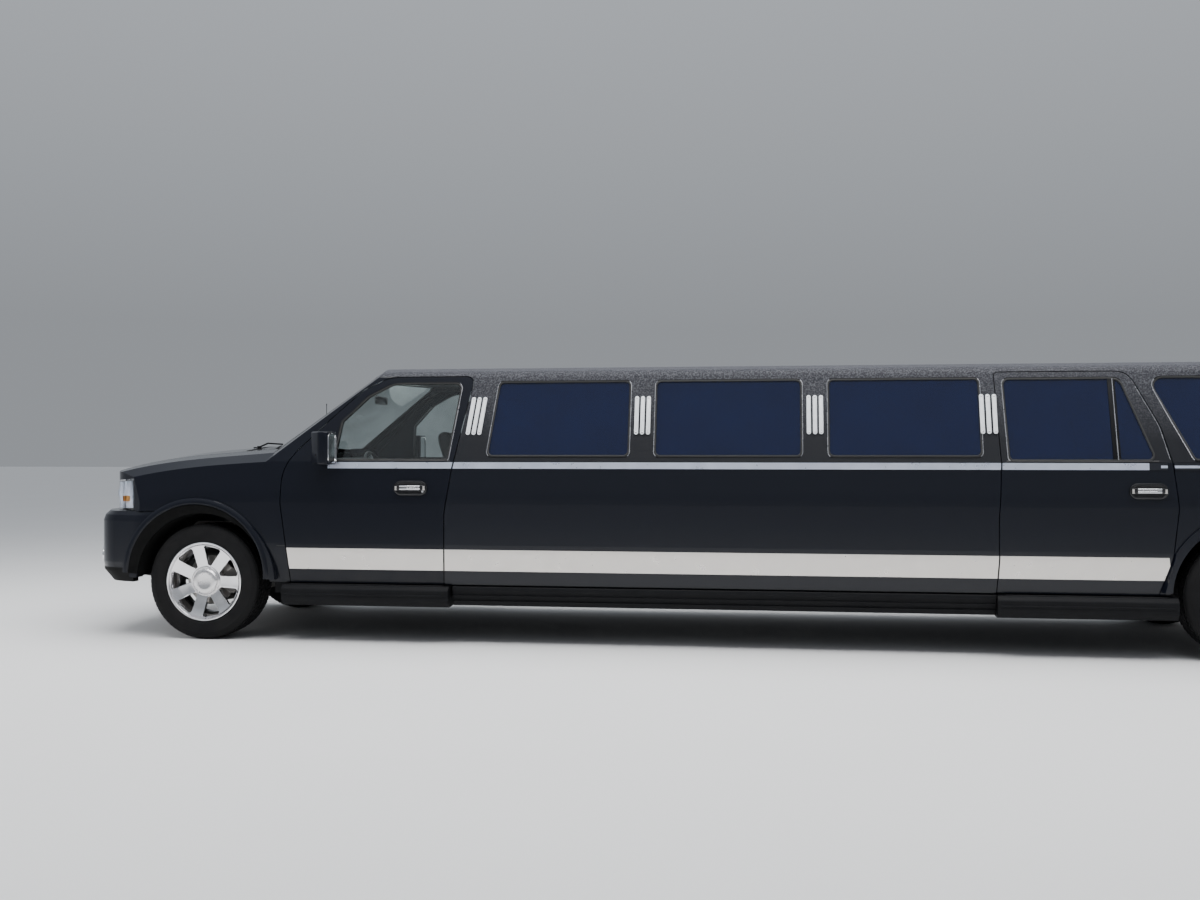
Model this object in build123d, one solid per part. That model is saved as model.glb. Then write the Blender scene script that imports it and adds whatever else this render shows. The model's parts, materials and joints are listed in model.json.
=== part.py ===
from build123d import *
import math
import os

# A stretch limousine on a long luxury utility body, in millimetres.
# The row +X is forward, +Y is the vehicle's left and +Z is up. The origin is on the ground below the middle.

os.makedirs("parts", exist_ok=True)

# Main sizes
STRETCH = 3556.0
BASE_WHEELBASE = 3327.0
FRONT_OVERHANG = 970.0
REAR_OVERHANG = 1375.0
WHEELBASE = BASE_WHEELBASE + STRETCH
LENGTH = FRONT_OVERHANG + WHEELBASE + REAR_OVERHANG
FRONT_AXLE_X = LENGTH / 2 - FRONT_OVERHANG
REAR_AXLE_X = FRONT_AXLE_X - WHEELBASE
NOSE_X = LENGTH / 2
TAIL_X = -LENGTH / 2

# Body section: half widths and heights of its corners
BODY_HALF = 1001.0
SILL_Z = 410.0
SILL_TUCK = 38.0
WAIST_LOW_Z = 640.0
WAIST_HIGH_Z = 1000.0
BELT_TUCK = 30.0
BELT_Z = 1245.0
RAIL_HALF = 783.0
RAIL_Z = 1868.0
ROOF_FLAT_HALF = 380.0
ROOF_Z = 1920.0
DOOR_TOP_Z = 1830.0

# Walls and gaps
WALL = 126.0
SILL_WALL = 76.0
GLASS_WALL = 52.0
ROOF_WALL = 58.0
GAP = 6.0
SEAT = 0.3
STEP_Z = 575.0
LIP_HALF = 742.0

# Floor, sills and chassis
FLOOR_TOP_Z = 565.0
FLOOR_THICK = 30.0
REAR_FLOOR_TOP_Z = 670.0
SILL_INNER = 800.0
SILL_LOW_Z = 330.0
RAIL_OUTER_Y = 470.0
RAIL_WIDTH = 90.0
RAIL_LOW_Z = 360.0
RAIL_HIGH_Z = 515.0

# Wheels and tyres
TYRE_RADIUS = 405.25
TYRE_HALF = 137.5
RIM_LIP_RADIUS = 274.0
BEAD_RADIUS = 254.0
RIM_HALF = 114.0
TRACK_HALF = 851.0
HUB_BORE = 30.05
SPINDLE_RADIUS = 30.0
SPOKES = 7
ARCH_RADIUS = 480.0
FLARE_WIDTH = 55.0
FLARE_RISE = 15.0
KINGPIN_Y = 800.0


def corner_arcs(rows):
    """Returns start, middle and end of each corner of rows (a, b, radius), as plane points."""
    corners = []
    for i, (a, b, radius) in enumerate(rows):
        here = Vector(a, b)
        if radius <= 0:
            corners.append((here, None, here))
            continue
        before = Vector(rows[i - 1][0], rows[i - 1][1])
        after = Vector(rows[(i + 1) % len(rows)][0], rows[(i + 1) % len(rows)][1])
        back = (before - here).normalized()
        ahead = (after - here).normalized()
        half = math.acos(max(-1.0, min(1.0, back.dot(ahead)))) / 2
        reach = radius / math.tan(half)
        centre = here + (back + ahead).normalized() * (radius / math.sin(half))
        middle = centre + (here - centre).normalized() * radius
        corners.append((here + back * reach, middle, here + ahead * reach))
    return corners


def place(axis, station, point):
    """Returns the point of space for a plane point on the station of an axis."""
    if axis == "x":
        return Vector(station, point.X, point.Y)
    if axis == "y":
        return Vector(point.X, station, point.Y)
    return Vector(point.X, point.Y, station)


def grown(rows, amount):
    """Returns rows (a, b, radius) with every line moved outwards by an amount."""
    count = len(rows)
    area = sum(rows[i - 1][0] * rows[i][1] - rows[i][0] * rows[i - 1][1] for i in range(count))
    turn = 1.0 if area > 0 else -1.0
    result = []
    for i, (a, b, radius) in enumerate(rows):
        here = Vector(a, b)
        before = Vector(rows[i - 1][0], rows[i - 1][1])
        after = Vector(rows[(i + 1) % count][0], rows[(i + 1) % count][1])
        first = (here - before).normalized()
        second = (after - here).normalized()
        out_first = Vector(first.Y, -first.X) * turn
        out_second = Vector(second.Y, -second.X) * turn
        share = amount / (1 + out_first.dot(out_second))
        moved = here + (out_first + out_second) * share
        convex = turn * (first.X * second.Y - first.Y * second.X) > 0
        new_radius = max(radius + (amount if convex else -amount), 0.5) if radius > 0 else 0
        result.append((moved.X, moved.Y, new_radius))
    return result


def outline(rows, axis, station, grow=0.0):
    """Returns the closed face of rows (a, b, radius) across an axis: (y, z), (x, z) or (x, y)."""
    corners = corner_arcs(grown(rows, grow) if grow else rows)
    edges = []
    for i, (start, middle, end) in enumerate(corners):
        if middle is not None:
            edges.append(Edge.make_three_point_arc(*[place(axis, station, p) for p in (start, middle, end)]))
        following = corners[(i + 1) % len(corners)][0]
        if (following - end).length > 0.001:
            edges.append(Edge.make_line(place(axis, station, end), place(axis, station, following)))
    return Face(Wire(edges))


def prism(rows, axis, low, high, lean=0.0, at=0.0, grow=0.0):
    """Returns the prism of rows along an axis. It leans by lean for each unit past the station named at."""
    shifted = [(a + lean * (low - at), b, r) for a, b, r in rows]
    face = outline(shifted, axis, low, grow)
    run = high - low
    if axis == "x":
        way = Vector(run, lean * run, 0)
    elif axis == "y":
        way = Vector(lean * run, run, 0)
    else:
        way = Vector(lean * run, 0, run)
    return Solid.extrude(face, way)


def block(x0, x1, y0, y1, z0, z1):
    """Returns the box between two corners."""
    size = (abs(x1 - x0), abs(y1 - y0), abs(z1 - z0))
    return Pos((x0 + x1) / 2, (y0 + y1) / 2, (z0 + z1) / 2) * Box(*size)


def rod(start, end, radius, inner=0.0):
    """Returns the round bar or tube between two points."""
    start, end = Vector(*start), Vector(*end)
    plane = Plane(origin=start, z_dir=end - start)
    bar = plane * Pos(0, 0, (end - start).length / 2) * Cylinder(radius, (end - start).length)
    if inner:
        bar -= plane * Pos(0, 0, (end - start).length / 2) * Cylinder(inner, (end - start).length)
    return bar


def both_sides(half_rows):
    """Returns the closed rows of a half section (y, z, radius) that runs upwards."""
    return half_rows + [(-y, z, r) for y, z, r in reversed(half_rows)]


def mirrored(shape):
    """Returns the shape on the other side of the vehicle."""
    return mirror(shape, Plane.XZ)


def behind_front(distance):
    """Returns the x of a place behind the front axle."""
    return FRONT_AXLE_X - distance


def ahead_rear(distance):
    """Returns the x of a place ahead of the rear axle."""
    return REAR_AXLE_X + distance


def glass_side_y(z):
    """Returns the outer half width of the leaning glass side at a height above the belt."""
    lean = (BODY_HALF - BELT_TUCK - RAIL_HALF) / (RAIL_Z - BELT_Z)
    if z <= BELT_Z:
        return BODY_HALF
    return BODY_HALF - BELT_TUCK - lean * (z - BELT_Z)


# Outer section of the cabin, half of it from the sill up to the roof: y, z, corner radius
CABIN_HALF = [
    (BODY_HALF - SILL_TUCK, SILL_Z, 0),
    (BODY_HALF, WAIST_LOW_Z, 500),
    (BODY_HALF, WAIST_HIGH_Z, 700),
    (BODY_HALF - BELT_TUCK, BELT_Z, 0),
    (RAIL_HALF, RAIL_Z, 70),
    (ROOF_FLAT_HALF, ROOF_Z, 2500),
]
SIDE_LEAN = (BODY_HALF - BELT_TUCK - RAIL_HALF) / (RAIL_Z - BELT_Z)
CEILING_RAIL_Z = RAIL_Z - ROOF_WALL
INNER_HALF = [
    (BODY_HALF - SILL_WALL, SILL_Z - 20, 0),
    (BODY_HALF - SILL_WALL, STEP_Z, 0),
    (BODY_HALF - WALL, STEP_Z, 0),
    (BODY_HALF - WALL, BELT_Z - 50, 0),
    (glass_side_y(BELT_Z + 5) - GLASS_WALL, BELT_Z + 5, 0),
    (glass_side_y(CEILING_RAIL_Z) - GLASS_WALL, CEILING_RAIL_Z, 50),
    (ROOF_FLAT_HALF, ROOF_Z - ROOF_WALL, 2500),
]

# Windscreen: a bowed surface that leans back
SCREEN_FOOT = 231.0
SCREEN_FOOT_Z = 1324.0
SCREEN_RADIUS = 2560.0
SCREEN_SLOPE = math.radians(34.0)
SCREEN_WALL = 62.0
SCREEN_REACH = 1150.0


def ahead_of_screen(back):
    """Returns the space ahead of the windscreen surface, moved back by a distance along x."""
    up = Vector(-math.cos(SCREEN_SLOPE), 0, math.sin(SCREEN_SLOPE))
    out = Vector(math.sin(SCREEN_SLOPE), 0, math.cos(SCREEN_SLOPE))
    foot = Vector(behind_front(SCREEN_FOOT + back), 0, SCREEN_FOOT_Z) - up * 2500
    bow = SCREEN_RADIUS - math.sqrt(SCREEN_RADIUS**2 - SCREEN_REACH**2)
    ends = [foot - out * bow + Vector(0, side * SCREEN_REACH, 0) for side in (-1, 1)]
    edges = [
        Edge.make_three_point_arc(ends[0], foot, ends[1]),
        Edge.make_line(ends[1], ends[1] + out * 2000),
        Edge.make_line(ends[1] + out * 2000, ends[0] + out * 2000),
        Edge.make_line(ends[0] + out * 2000, ends[0]),
    ]
    return Solid.extrude(Face(Wire(edges)), up * 4500)


# Tail profile (x, z, radius) and plan (x, y, radius)
TAIL_ROWS = [
    (FRONT_AXLE_X, 200, 0),
    (FRONT_AXLE_X, 2100, 0),
    (TAIL_X + 364, 2100, 0),
    (TAIL_X + 364, ROOF_Z + 15, 0),
    (TAIL_X + 209, 1885, 90),
    (TAIL_X + 42, 1250, 400),
    (TAIL_X + 22, 760, 0),
    (TAIL_X + 60, 200, 0),
]
PLAN_HALF_REAR = [
    (FRONT_AXLE_X, 1200, 0),
    (TAIL_X + 760, 1200, 0),
    (TAIL_X + 760, 1003, 0),
    (TAIL_X + 240, 980, 500),
    (TAIL_X + 40, 860, 170),
    (TAIL_X + 12, 560, 900),
]
TAIL_WALL = 80.0


def plan_rows(half, shift=0.0, inset=0.0):
    """Returns closed plan rows from a half plan (x, y, radius), moved along x and drawn in."""
    near = [(x + shift, y - inset, r) for x, y, r in half]
    return near + [(x, -y, r) for x, y, r in reversed(near)]


cabin_rows = both_sides(CABIN_HALF)
cabin_back = TAIL_X - 20
cabin_prism = prism(cabin_rows, "x", cabin_back, behind_front(100))
cabin_prism &= prism(TAIL_ROWS, "y", -1200, 1200)
cabin_prism &= prism(plan_rows(PLAN_HALF_REAR), "z", 100, 2200)
cabin_outer = cabin_prism - ahead_of_screen(0)

room = prism(both_sides(INNER_HALF), "x", cabin_back + TAIL_WALL, behind_front(100))
room &= prism([(a + TAIL_WALL, b, r) for a, b, r in TAIL_ROWS], "y", -1200, 1200)
room &= prism(plan_rows(PLAN_HALF_REAR, TAIL_WALL, 0), "z", 100, 2200)
room -= ahead_of_screen(SCREEN_WALL)
shell = cabin_outer - room

# Nose: sections (distance behind the front axle, then y and z of each corner of half a section,
# in the order sill, waist, shoulder, belt, crease, bonnet edge, crown)
NOSE_STATIONS = [
    (-960, [(930, 470), (965, 640), (965, 880), (935, 1010), (880, 1075), (740, 1105), (380, 1130)]),
    (-450, [(958, 440), (995, 640), (993, 950), (960, 1150), (888, 1212), (740, 1245), (380, 1278)]),
    (50, [(963, 410), (1001, 640), (1001, 1000), (968, 1215), (880, 1272), (740, 1302), (380, 1335)]),
    (500, [(963, 410), (1001, 640), (1001, 1000), (971, 1245), (872, 1308), (740, 1335), (380, 1366)]),
]
NOSE_RADII = [0, 500, 600, 0, 0, 0, 1200]
FENDER_END = 760.0


def nose_rows(points):
    """Returns the closed rows of one nose section."""
    return both_sides([(y, z, r) for (y, z), r in zip(points, NOSE_RADII)])


sections = [outline(nose_rows(points), "x", behind_front(s)).outer_wire() for s, points in NOSE_STATIONS]
nose_loft = Solid.make_loft(sections, False)
last_station, last_points = NOSE_STATIONS[-1]
nose_tail = prism(nose_rows(last_points), "x", behind_front(FENDER_END), behind_front(last_station))
nose_body = nose_loft + nose_tail
UPPER_NOSE = [
    (behind_front(900), 1300, 0),
    (NOSE_X - 560, 1300, 0),
    (NOSE_X - 500, 990, 0),
    (NOSE_X - 270, 868, 240),
    (NOSE_X - 110, 480, 700),
    (NOSE_X - 50, 200, 1200),
]
nose_body &= prism(plan_rows(UPPER_NOSE), "z", 100, 2200)


def export(name, *solids):
    """Writes one node of one or more solids that don't touch."""
    pieces = []
    for shape in solids:
        pieces += list(shape.solids())
    body = pieces[0] if len(pieces) == 1 else Compound(children=pieces)
    export_step(body, f"parts/{name}.step")
    print(f"{name}: {len(pieces)} solid(s), {body.bounding_box()}")


# Doors: outlines on the real side surface (x, z, radius), their lean per unit of y, and the windows in them
REFERENCE_Y = 1000.0
FRONT_LEAN = -0.22
REAR_LEAN = -0.30
FRONT_DOOR = [
    (behind_front(657), 300, 0),
    (behind_front(613), 665, 500),
    (behind_front(571), 960, 300),
    (behind_front(584), 1190, 300),
    (behind_front(672), 1312, 120),
    (behind_front(930), 1570, 0),
    (behind_front(1115), 1742, 150),
    (behind_front(1300), DOOR_TOP_Z, 260),
    (behind_front(1898), DOOR_TOP_Z, 40),
    (behind_front(1784), 1200, 200),
    (behind_front(1730), 900, 400),
    (behind_front(1730), 300, 0),
]
FRONT_WINDOW = [
    (behind_front(940), BELT_Z + 12, 25),
    (behind_front(975), 1520, 30),
    (behind_front(1150), 1692, 120),
    (behind_front(1330), 1786, 200),
    (behind_front(1815), 1786, 45),
    (behind_front(1748), BELT_Z + 12, 25),
]
REAR_DOOR = [
    (ahead_rear(1516), 300, 0),
    (ahead_rear(1516), 900, 400),
    (ahead_rear(1491), 1220, 300),
    (ahead_rear(1520), DOOR_TOP_Z, 30),
    (ahead_rear(693), DOOR_TOP_Z, 110),
    (ahead_rear(523), 1476, 260),
    (ahead_rear(458), 1220, 100),
    (ahead_rear(440), 950, 150),
    (ahead_rear(474), 650, 150),
    (ahead_rear(570), 300, 0),
]
REAR_WINDOW = [
    (ahead_rear(1452), BELT_Z + 12, 30),
    (ahead_rear(1470), 1786, 40),
    (ahead_rear(745), 1786, 70),
    (ahead_rear(560), BELT_Z + 12, 35),
]
# Windows of the let-in section: how many, and the pillars around them
INSERT_WINDOWS = 3
INSERT_FRONT_MARGIN = 240.0
INSERT_REAR_MARGIN = 102.0
INSERT_PILLAR = 175.0
INSERT_START_X = behind_front(1780)
INSERT_END_X = ahead_rear(1516)
insert_room = INSERT_START_X - INSERT_END_X - INSERT_FRONT_MARGIN - INSERT_REAR_MARGIN
WINDOW_LENGTH = (insert_room - (INSERT_WINDOWS - 1) * INSERT_PILLAR) / INSERT_WINDOWS
WINDOW_TOP_Z = 1790.0
WINDOW_LOW_Z = BELT_Z + 38
QUARTER_WINDOW = [
    (ahead_rear(330), BELT_Z + 16, 35),
    (ahead_rear(440), 1500, 0),
    (ahead_rear(578), 1790, 60),
    (ahead_rear(-560), 1790, 70),
    (ahead_rear(-700), 1500, 300),
    (ahead_rear(-740), BELT_Z + 16, 70),
]


def on_reference(rows, lean):
    """Moves rows (x, z, radius) of the real surface to where a leaning prism through it is drawn."""
    return [(x - lean * (glass_side_y(z) - REFERENCE_Y), z, r) for x, z, r in rows]


def side_cut(rows, lean=0.0, grow=0.0, inner=680.0, outer=1120.0):
    """Returns the prism through the left side for rows (x, z, radius) on its surface."""
    return prism(on_reference(rows, lean), "y", inner, outer, lean, REFERENCE_Y, grow)


far = 6000.0
side_zone = block(-far, far, LIP_HALF + GAP, 1200, SILL_Z - 60, DOOR_TOP_Z)
fixed_zone = block(-far, far, LIP_HALF + GAP, 1200, SILL_Z - 60, DOOR_TOP_Z + GAP)
left_shell = shell & block(-far, far, 0, 1200, 0, 2200)

front_cut = side_cut(FRONT_DOOR, FRONT_LEAN)
front_gap = side_cut(FRONT_DOOR, FRONT_LEAN, GAP)
rear_cut = side_cut(REAR_DOOR, REAR_LEAN)
rear_gap = side_cut(REAR_DOOR, REAR_LEAN, GAP)

front_door = (left_shell & side_zone & front_cut) - side_cut(FRONT_WINDOW)
rear_door = (left_shell & side_zone & rear_cut) - side_cut(REAR_WINDOW)

# Glass lies a little under the outer skin of the leaning sides
GLASS_SINK = 8.0
GLASS_THICK = 5.0


def glass_layer():
    """Returns the left side's glass sheet, before it is cut to the windows."""
    top_z = DOOR_TOP_Z + 4
    low_z = BELT_Z - 20
    back = GLASS_SINK + GLASS_THICK
    rows = []
    for sink, z in ((GLASS_SINK, low_z), (GLASS_SINK, top_z), (back, top_z), (back, low_z)):
        y = BODY_HALF - BELT_TUCK - SIDE_LEAN * (z - BELT_Z) - sink
        rows.append((y, z, 0))
    return prism(rows, "x", TAIL_X, NOSE_X)


sheet = glass_layer()
front_glass = sheet & side_cut(FRONT_WINDOW, grow=-SEAT)
rear_glass = sheet & side_cut(REAR_WINDOW, grow=-SEAT)

# Fixed side panels of the let-in section
window_cuts = []
for i in range(INSERT_WINDOWS):
    start = INSERT_START_X - INSERT_FRONT_MARGIN - i * (WINDOW_LENGTH + INSERT_PILLAR)
    end = start - WINDOW_LENGTH
    top_lean = 60.0 if i == 0 else 0.0
    window_cuts.append([
        (start, WINDOW_LOW_Z, 35),
        (start - top_lean, WINDOW_TOP_Z, 35),
        (end, WINDOW_TOP_Z, 35),
        (end, WINDOW_LOW_Z, 35),
    ])
side_panel = left_shell & fixed_zone & block(INSERT_END_X - 60, INSERT_START_X + 60, 0, 1200, 0, 2200)
side_panel = side_panel - front_gap - rear_gap
for rows in window_cuts:
    side_panel -= side_cut(rows)

# Door hinges: pads in the gap ahead of each door, at two heights, between the inner and outer skins
DOOR_PAD_Y0, DOOR_PAD_Y1 = 892.0, 952.0
DOOR_PAD_Z = (760.0, 1080.0)
DOOR_PAD_HALF = 35.0


def door_pads(rows, lean):
    """Returns the hinge pads ahead of the left door with this outline and lean."""
    ahead = max(x for x, z, r in rows) + 80
    band = side_cut(rows, lean, GAP + 1) - side_cut(rows, lean, SEAT)
    pads = None
    for z in DOOR_PAD_Z:
        space = block(ahead - 180, ahead, DOOR_PAD_Y0, DOOR_PAD_Y1, z - DOOR_PAD_HALF, z + DOOR_PAD_HALF)
        pads = band & space if pads is None else pads + (band & space)
    return pads


side_panel += door_pads(REAR_DOOR, REAR_LEAN)
side_glass = [sheet & side_cut(rows, grow=-SEAT) for rows in window_cuts]
side_glass.append(sheet & side_cut(QUARTER_WINDOW, grow=-SEAT))

# Roof, liftgate and quarter panels
GATE_HINGE_X = TAIL_X + 318
GATE_HALF = 725.0
GATE_LOW_Z = 800.0
BUMPER_TOP_Z = 788.0
BUMPER_FRONT_X = TAIL_X + 500
LIP_Z = 1780.0
roof_zone = block(-far, far, -LIP_HALF, LIP_HALF, LIP_Z, 2200)
roof_zone += block(-far, far, -1200, 1200, DOOR_TOP_Z + GAP, 2200)
fixed_stretches = [
    (behind_front(1150), far),
    (INSERT_END_X + 50, INSERT_START_X - 160),
    (-far, ahead_rear(560)),
]
for x0, x1 in fixed_stretches:
    roof_zone += block(x0, x1, -LIP_HALF - GAP, LIP_HALF + GAP, LIP_Z, 2200)
roof = shell & roof_zone & block(GATE_HINGE_X + GAP, behind_front(800), -1200, 1200, 0, 2200)

# Hinge pads fill the gap beside a hinged panel up to the seat clearance
PAD_HALF = 40.0
GATE_PAD_Y = 440.0
GATE_PAD_DEEP = 30.0
GATE_PAD_LOW_Z = ROOF_Z - 50
GATE_PAD_TOP_Z = GATE_PAD_LOW_Z + GATE_PAD_DEEP
for side in (1, -1):
    y0, y1 = side * (GATE_PAD_Y - PAD_HALF), side * (GATE_PAD_Y + PAD_HALF)
    roof += block(GATE_HINGE_X + SEAT, GATE_HINGE_X + GAP + 2, y0, y1, GATE_PAD_LOW_Z, GATE_PAD_TOP_Z)

rear_x = ahead_rear(760)
quarter = left_shell & fixed_zone & block(GATE_HINGE_X + GAP, rear_x, 0, 1200, 0, 2200)
corner = left_shell & block(-far, GATE_HINGE_X + GAP, GATE_HALF + GAP, 1200, 0, 2200)
quarter = (quarter + corner) - rear_gap - side_cut(QUARTER_WINDOW)
quarter -= block(-far, BUMPER_FRONT_X + GAP, 0, 1200, 0, BUMPER_TOP_Z + 4)
axle_z = TYRE_RADIUS

# Wheel arches: lined tunnels over the wheels, and raised flares around them
LINER = 15.0
FLARE_LOW_Z = 430.0
REAR_HOUSE_Y = 690.0
FRONT_HOUSE_Y = 500.0
FLARE_INNER_Y = 925.0


def arch_space(axle_x, inner_y, radius):
    """Returns the round space over the left wheel of an axle."""
    return rod((axle_x, inner_y, axle_z), (axle_x, 1300, axle_z), radius)


def flare(axle_x):
    """Returns the raised band around the left arch of an axle."""
    start = (axle_x, FLARE_INNER_Y, axle_z)
    end = (axle_x, BODY_HALF + FLARE_RISE, axle_z)
    band = rod(start, end, ARCH_RADIUS + FLARE_WIDTH, ARCH_RADIUS)
    return band & block(-far, far, 0, 1200, FLARE_LOW_Z, 2000)


def wheelhouse(axle_x, inner_y, outer_y, low_z, wall_low_z):
    """Returns the liner over the left wheel of an axle, with its inner wall."""
    start = (axle_x, inner_y, axle_z)
    liner = rod(start, (axle_x, outer_y, axle_z), ARCH_RADIUS + LINER, ARCH_RADIUS)
    wall = rod((axle_x, inner_y - LINER, axle_z), start, ARCH_RADIUS + LINER)
    liner &= block(-far, far, 0, 1200, low_z, 2000)
    wall &= block(-far, far, 0, 1200, wall_low_z, 2000)
    return liner + wall


quarter = quarter - arch_space(REAR_AXLE_X, 600, ARCH_RADIUS)
quarter += flare(REAR_AXLE_X)
quarter += wheelhouse(REAR_AXLE_X, REAR_HOUSE_Y + LINER, BODY_HALF - WALL + 20, 560, 560)
quarter -= rear_gap

# Nose: bonnet, fenders with windscreen pillars, cowl
SHELF_LOW_Z = 1262.0
SHELF_TOP_Z = 1300.0
GLASS_AHEAD = 12.0
GLASS_BACK = 20.0
BONNET_HALF = 737.0
FENDER_INNER = BONNET_HALF + GAP
BONNET_THICK = 40.0
BONNET_REAR_X = behind_front(170)
BAY_HALF = 800.0
FIREWALL_X = behind_front(560)
LAMP_REAR_X = FRONT_AXLE_X + 530
LAMP_LOW_Z = 898.0
LAMP_INNER_Y = 522.0
BUMPER_FRONT_TOP_Z = 892.0
BUMPER_END_X = FRONT_AXLE_X + 230
GRILLE_LOW_Z = BUMPER_FRONT_TOP_Z + SEAT

bay = block(FIREWALL_X, NOSE_X - 160, -BAY_HALF, BAY_HALF, 200, 1000)
bay += block(FIREWALL_X, NOSE_X - 160, -BAY_HALF, BAY_HALF, 900, 1500) & Pos(0, 0, -45) * nose_body
bonnet = nose_body & block(BONNET_REAR_X, far, -BONNET_HALF, BONNET_HALF, 900, 1500)
bonnet -= Pos(0, 0, -BONNET_THICK) * nose_body

# Windscreen opening: y, z, radius
SCREEN_OPENING = [(872, 1290, 0), (868, 1345, 0), (722, 1845, 70)]
screen_cut = prism(both_sides(SCREEN_OPENING), "x", behind_front(1500), behind_front(-400))
screen_small = prism(both_sides(SCREEN_OPENING), "x", behind_front(1500), behind_front(-400), grow=-SEAT)
pillar = left_shell & fixed_zone & block(behind_front(1450), behind_front(250), 0, 1200, BELT_Z - 30, 2200)
pillar = pillar - front_gap - screen_cut - block(-far, far, 0, FENDER_INNER, 0, SHELF_TOP_Z)
roof = roof - screen_cut

lamp_top = [
    (LAMP_REAR_X, LAMP_LOW_Z, 0),
    (LAMP_REAR_X, 1122, 0),
    (NOSE_X, 1090, 0),
    (NOSE_X, LAMP_LOW_Z, 0),
]
lamp_space = prism(lamp_top, "y", LAMP_INNER_Y, 1200)
lamp_space -= block(-far, far, 0, FENDER_INNER, 0, 2000) - Pos(0, 0, -BONNET_THICK - GAP) * nose_body
nose_left = nose_body & block(behind_front(FENDER_END), far, FENDER_INNER, 1200, SILL_Z, 1500)
fender = nose_left - bay - lamp_space - front_gap
fender -= block(-far, behind_front(300), 0, BODY_HALF - SILL_WALL, 0, STEP_Z)
bumper_zone = block(BUMPER_END_X - 4 * GAP, far, 0, 1200, 0, BUMPER_FRONT_TOP_Z + 4)
bumper_zone -= arch_space(FRONT_AXLE_X, 0, ARCH_RADIUS + FLARE_WIDTH)
fender = fender - bumper_zone - arch_space(FRONT_AXLE_X, 600, ARCH_RADIUS)
fender -= block(-far, FIREWALL_X, 0, BODY_HALF - WALL, 0, SHELF_LOW_Z)
fender += flare(FRONT_AXLE_X)
fender += wheelhouse(FRONT_AXLE_X, FRONT_HOUSE_Y, BAY_HALF + 5, 620, 800)
fender += pillar
screen_slot = (ahead_of_screen(GLASS_BACK + 1) - ahead_of_screen(GLASS_AHEAD - 1)) & screen_cut
fender -= screen_slot & block(-far, far, 0, 1200, SHELF_TOP_Z, 2200)
fender += door_pads(FRONT_DOOR, FRONT_LEAN)

# Cowl with its shelf and the bulkhead below
SHELF_REAR_X = behind_front(610)
cowl_space = block(SHELF_REAR_X, BONNET_REAR_X - GAP, -FENDER_INNER, FENDER_INNER, 1200, 1500)
cowl_top = (nose_body & cowl_space & ahead_of_screen(10)) - Pos(0, 0, -60) * nose_body
shelf = block(SHELF_REAR_X, BONNET_REAR_X - GAP - 60, -FENDER_INNER, FENDER_INNER, SHELF_LOW_Z, SHELF_TOP_Z)
FIREWALL_HALF = BODY_HALF - WALL - GAP
BULKHEAD_THICK = 30.0
bulkhead_x = FIREWALL_X - BULKHEAD_THICK
bulkhead = block(bulkhead_x, FIREWALL_X, -BAY_HALF, BAY_HALF, FLOOR_TOP_Z, SHELF_LOW_Z - 10)
bulkhead += block(bulkhead_x, FIREWALL_X, -FENDER_INNER, FENDER_INNER, SHELF_LOW_Z - 20, SHELF_LOW_Z + 10)
for side in (1, -1):
    y0, y1 = side * (BAY_HALF - 10), side * FIREWALL_HALF
    bulkhead += block(bulkhead_x, FIREWALL_X, y0, y1, FLOOR_TOP_Z + 40, SHELF_LOW_Z - 10)
cowl = cowl_top + shelf + bulkhead
BONNET_PAD_Y = 600.0
PAD_INSET = 4.0
pad_layer = (Pos(0, 0, -PAD_INSET) * nose_body) - Pos(0, 0, PAD_INSET - BONNET_THICK) * nose_body
for side in (1, -1):
    y0, y1 = side * (BONNET_PAD_Y - PAD_HALF), side * (BONNET_PAD_Y + PAD_HALF)
    cowl += pad_layer & block(BONNET_REAR_X - GAP - 2, BONNET_REAR_X - SEAT, y0, y1, 1200, 1500)
glass_band = (ahead_of_screen(GLASS_BACK) - ahead_of_screen(GLASS_AHEAD)) & screen_small & cabin_prism
windscreen = glass_band & block(-far, far, -1200, 1200, SHELF_TOP_Z + SEAT, 2200)

# Grille: a frame with level bars, made from the front layer of the nose
GRILLE_THICK = 55.0
GRILLE_HALF = 514.0
GRILLE_FRAME = 34.0
GRILLE_BARS = 5
GRILLE_BAR = 12.0
grille_layer = nose_body - Pos(-GRILLE_THICK, 0, 0) * nose_body
GRILLE_TOP_Z = 1104.0
grille_outer = [
    (GRILLE_HALF - 30, GRILLE_LOW_Z, 40),
    (GRILLE_HALF, GRILLE_TOP_Z - 60, 0),
    (GRILLE_HALF - 6, GRILLE_TOP_Z - 16, 18),
    (GRILLE_HALF - 150, GRILLE_TOP_Z, 0),
]
grille_face = prism(both_sides(grille_outer), "x", NOSE_X - 260, NOSE_X)
grille_hole = prism(both_sides(grille_outer), "x", NOSE_X - 260, NOSE_X, grow=-GRILLE_FRAME)
grille = grille_layer & (grille_face - grille_hole)
bar_pitch = (GRILLE_TOP_Z - GRILLE_LOW_Z - 2 * GRILLE_FRAME) / (GRILLE_BARS + 1)
for i in range(GRILLE_BARS):
    z = GRILLE_LOW_Z + GRILLE_FRAME + (i + 1) * bar_pitch
    bar_half = GRILLE_HALF - 20
    bar = block(NOSE_X - 260, NOSE_X, -bar_half, bar_half, z - GRILLE_BAR / 2, z + GRILLE_BAR / 2)
    bar &= Pos(-12, 0, 0) * nose_body
    grille += bar & grille_face & grille_layer
grille = grille & Pos(0, 0, -BONNET_THICK - GAP) * nose_body
backing = Pos(-GRILLE_THICK, 0, 0) * (nose_body - Pos(-25, 0, 0) * nose_body)
backing = backing & grille_face & Pos(0, 0, -BONNET_THICK - GAP) * nose_body
grille += backing

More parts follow.
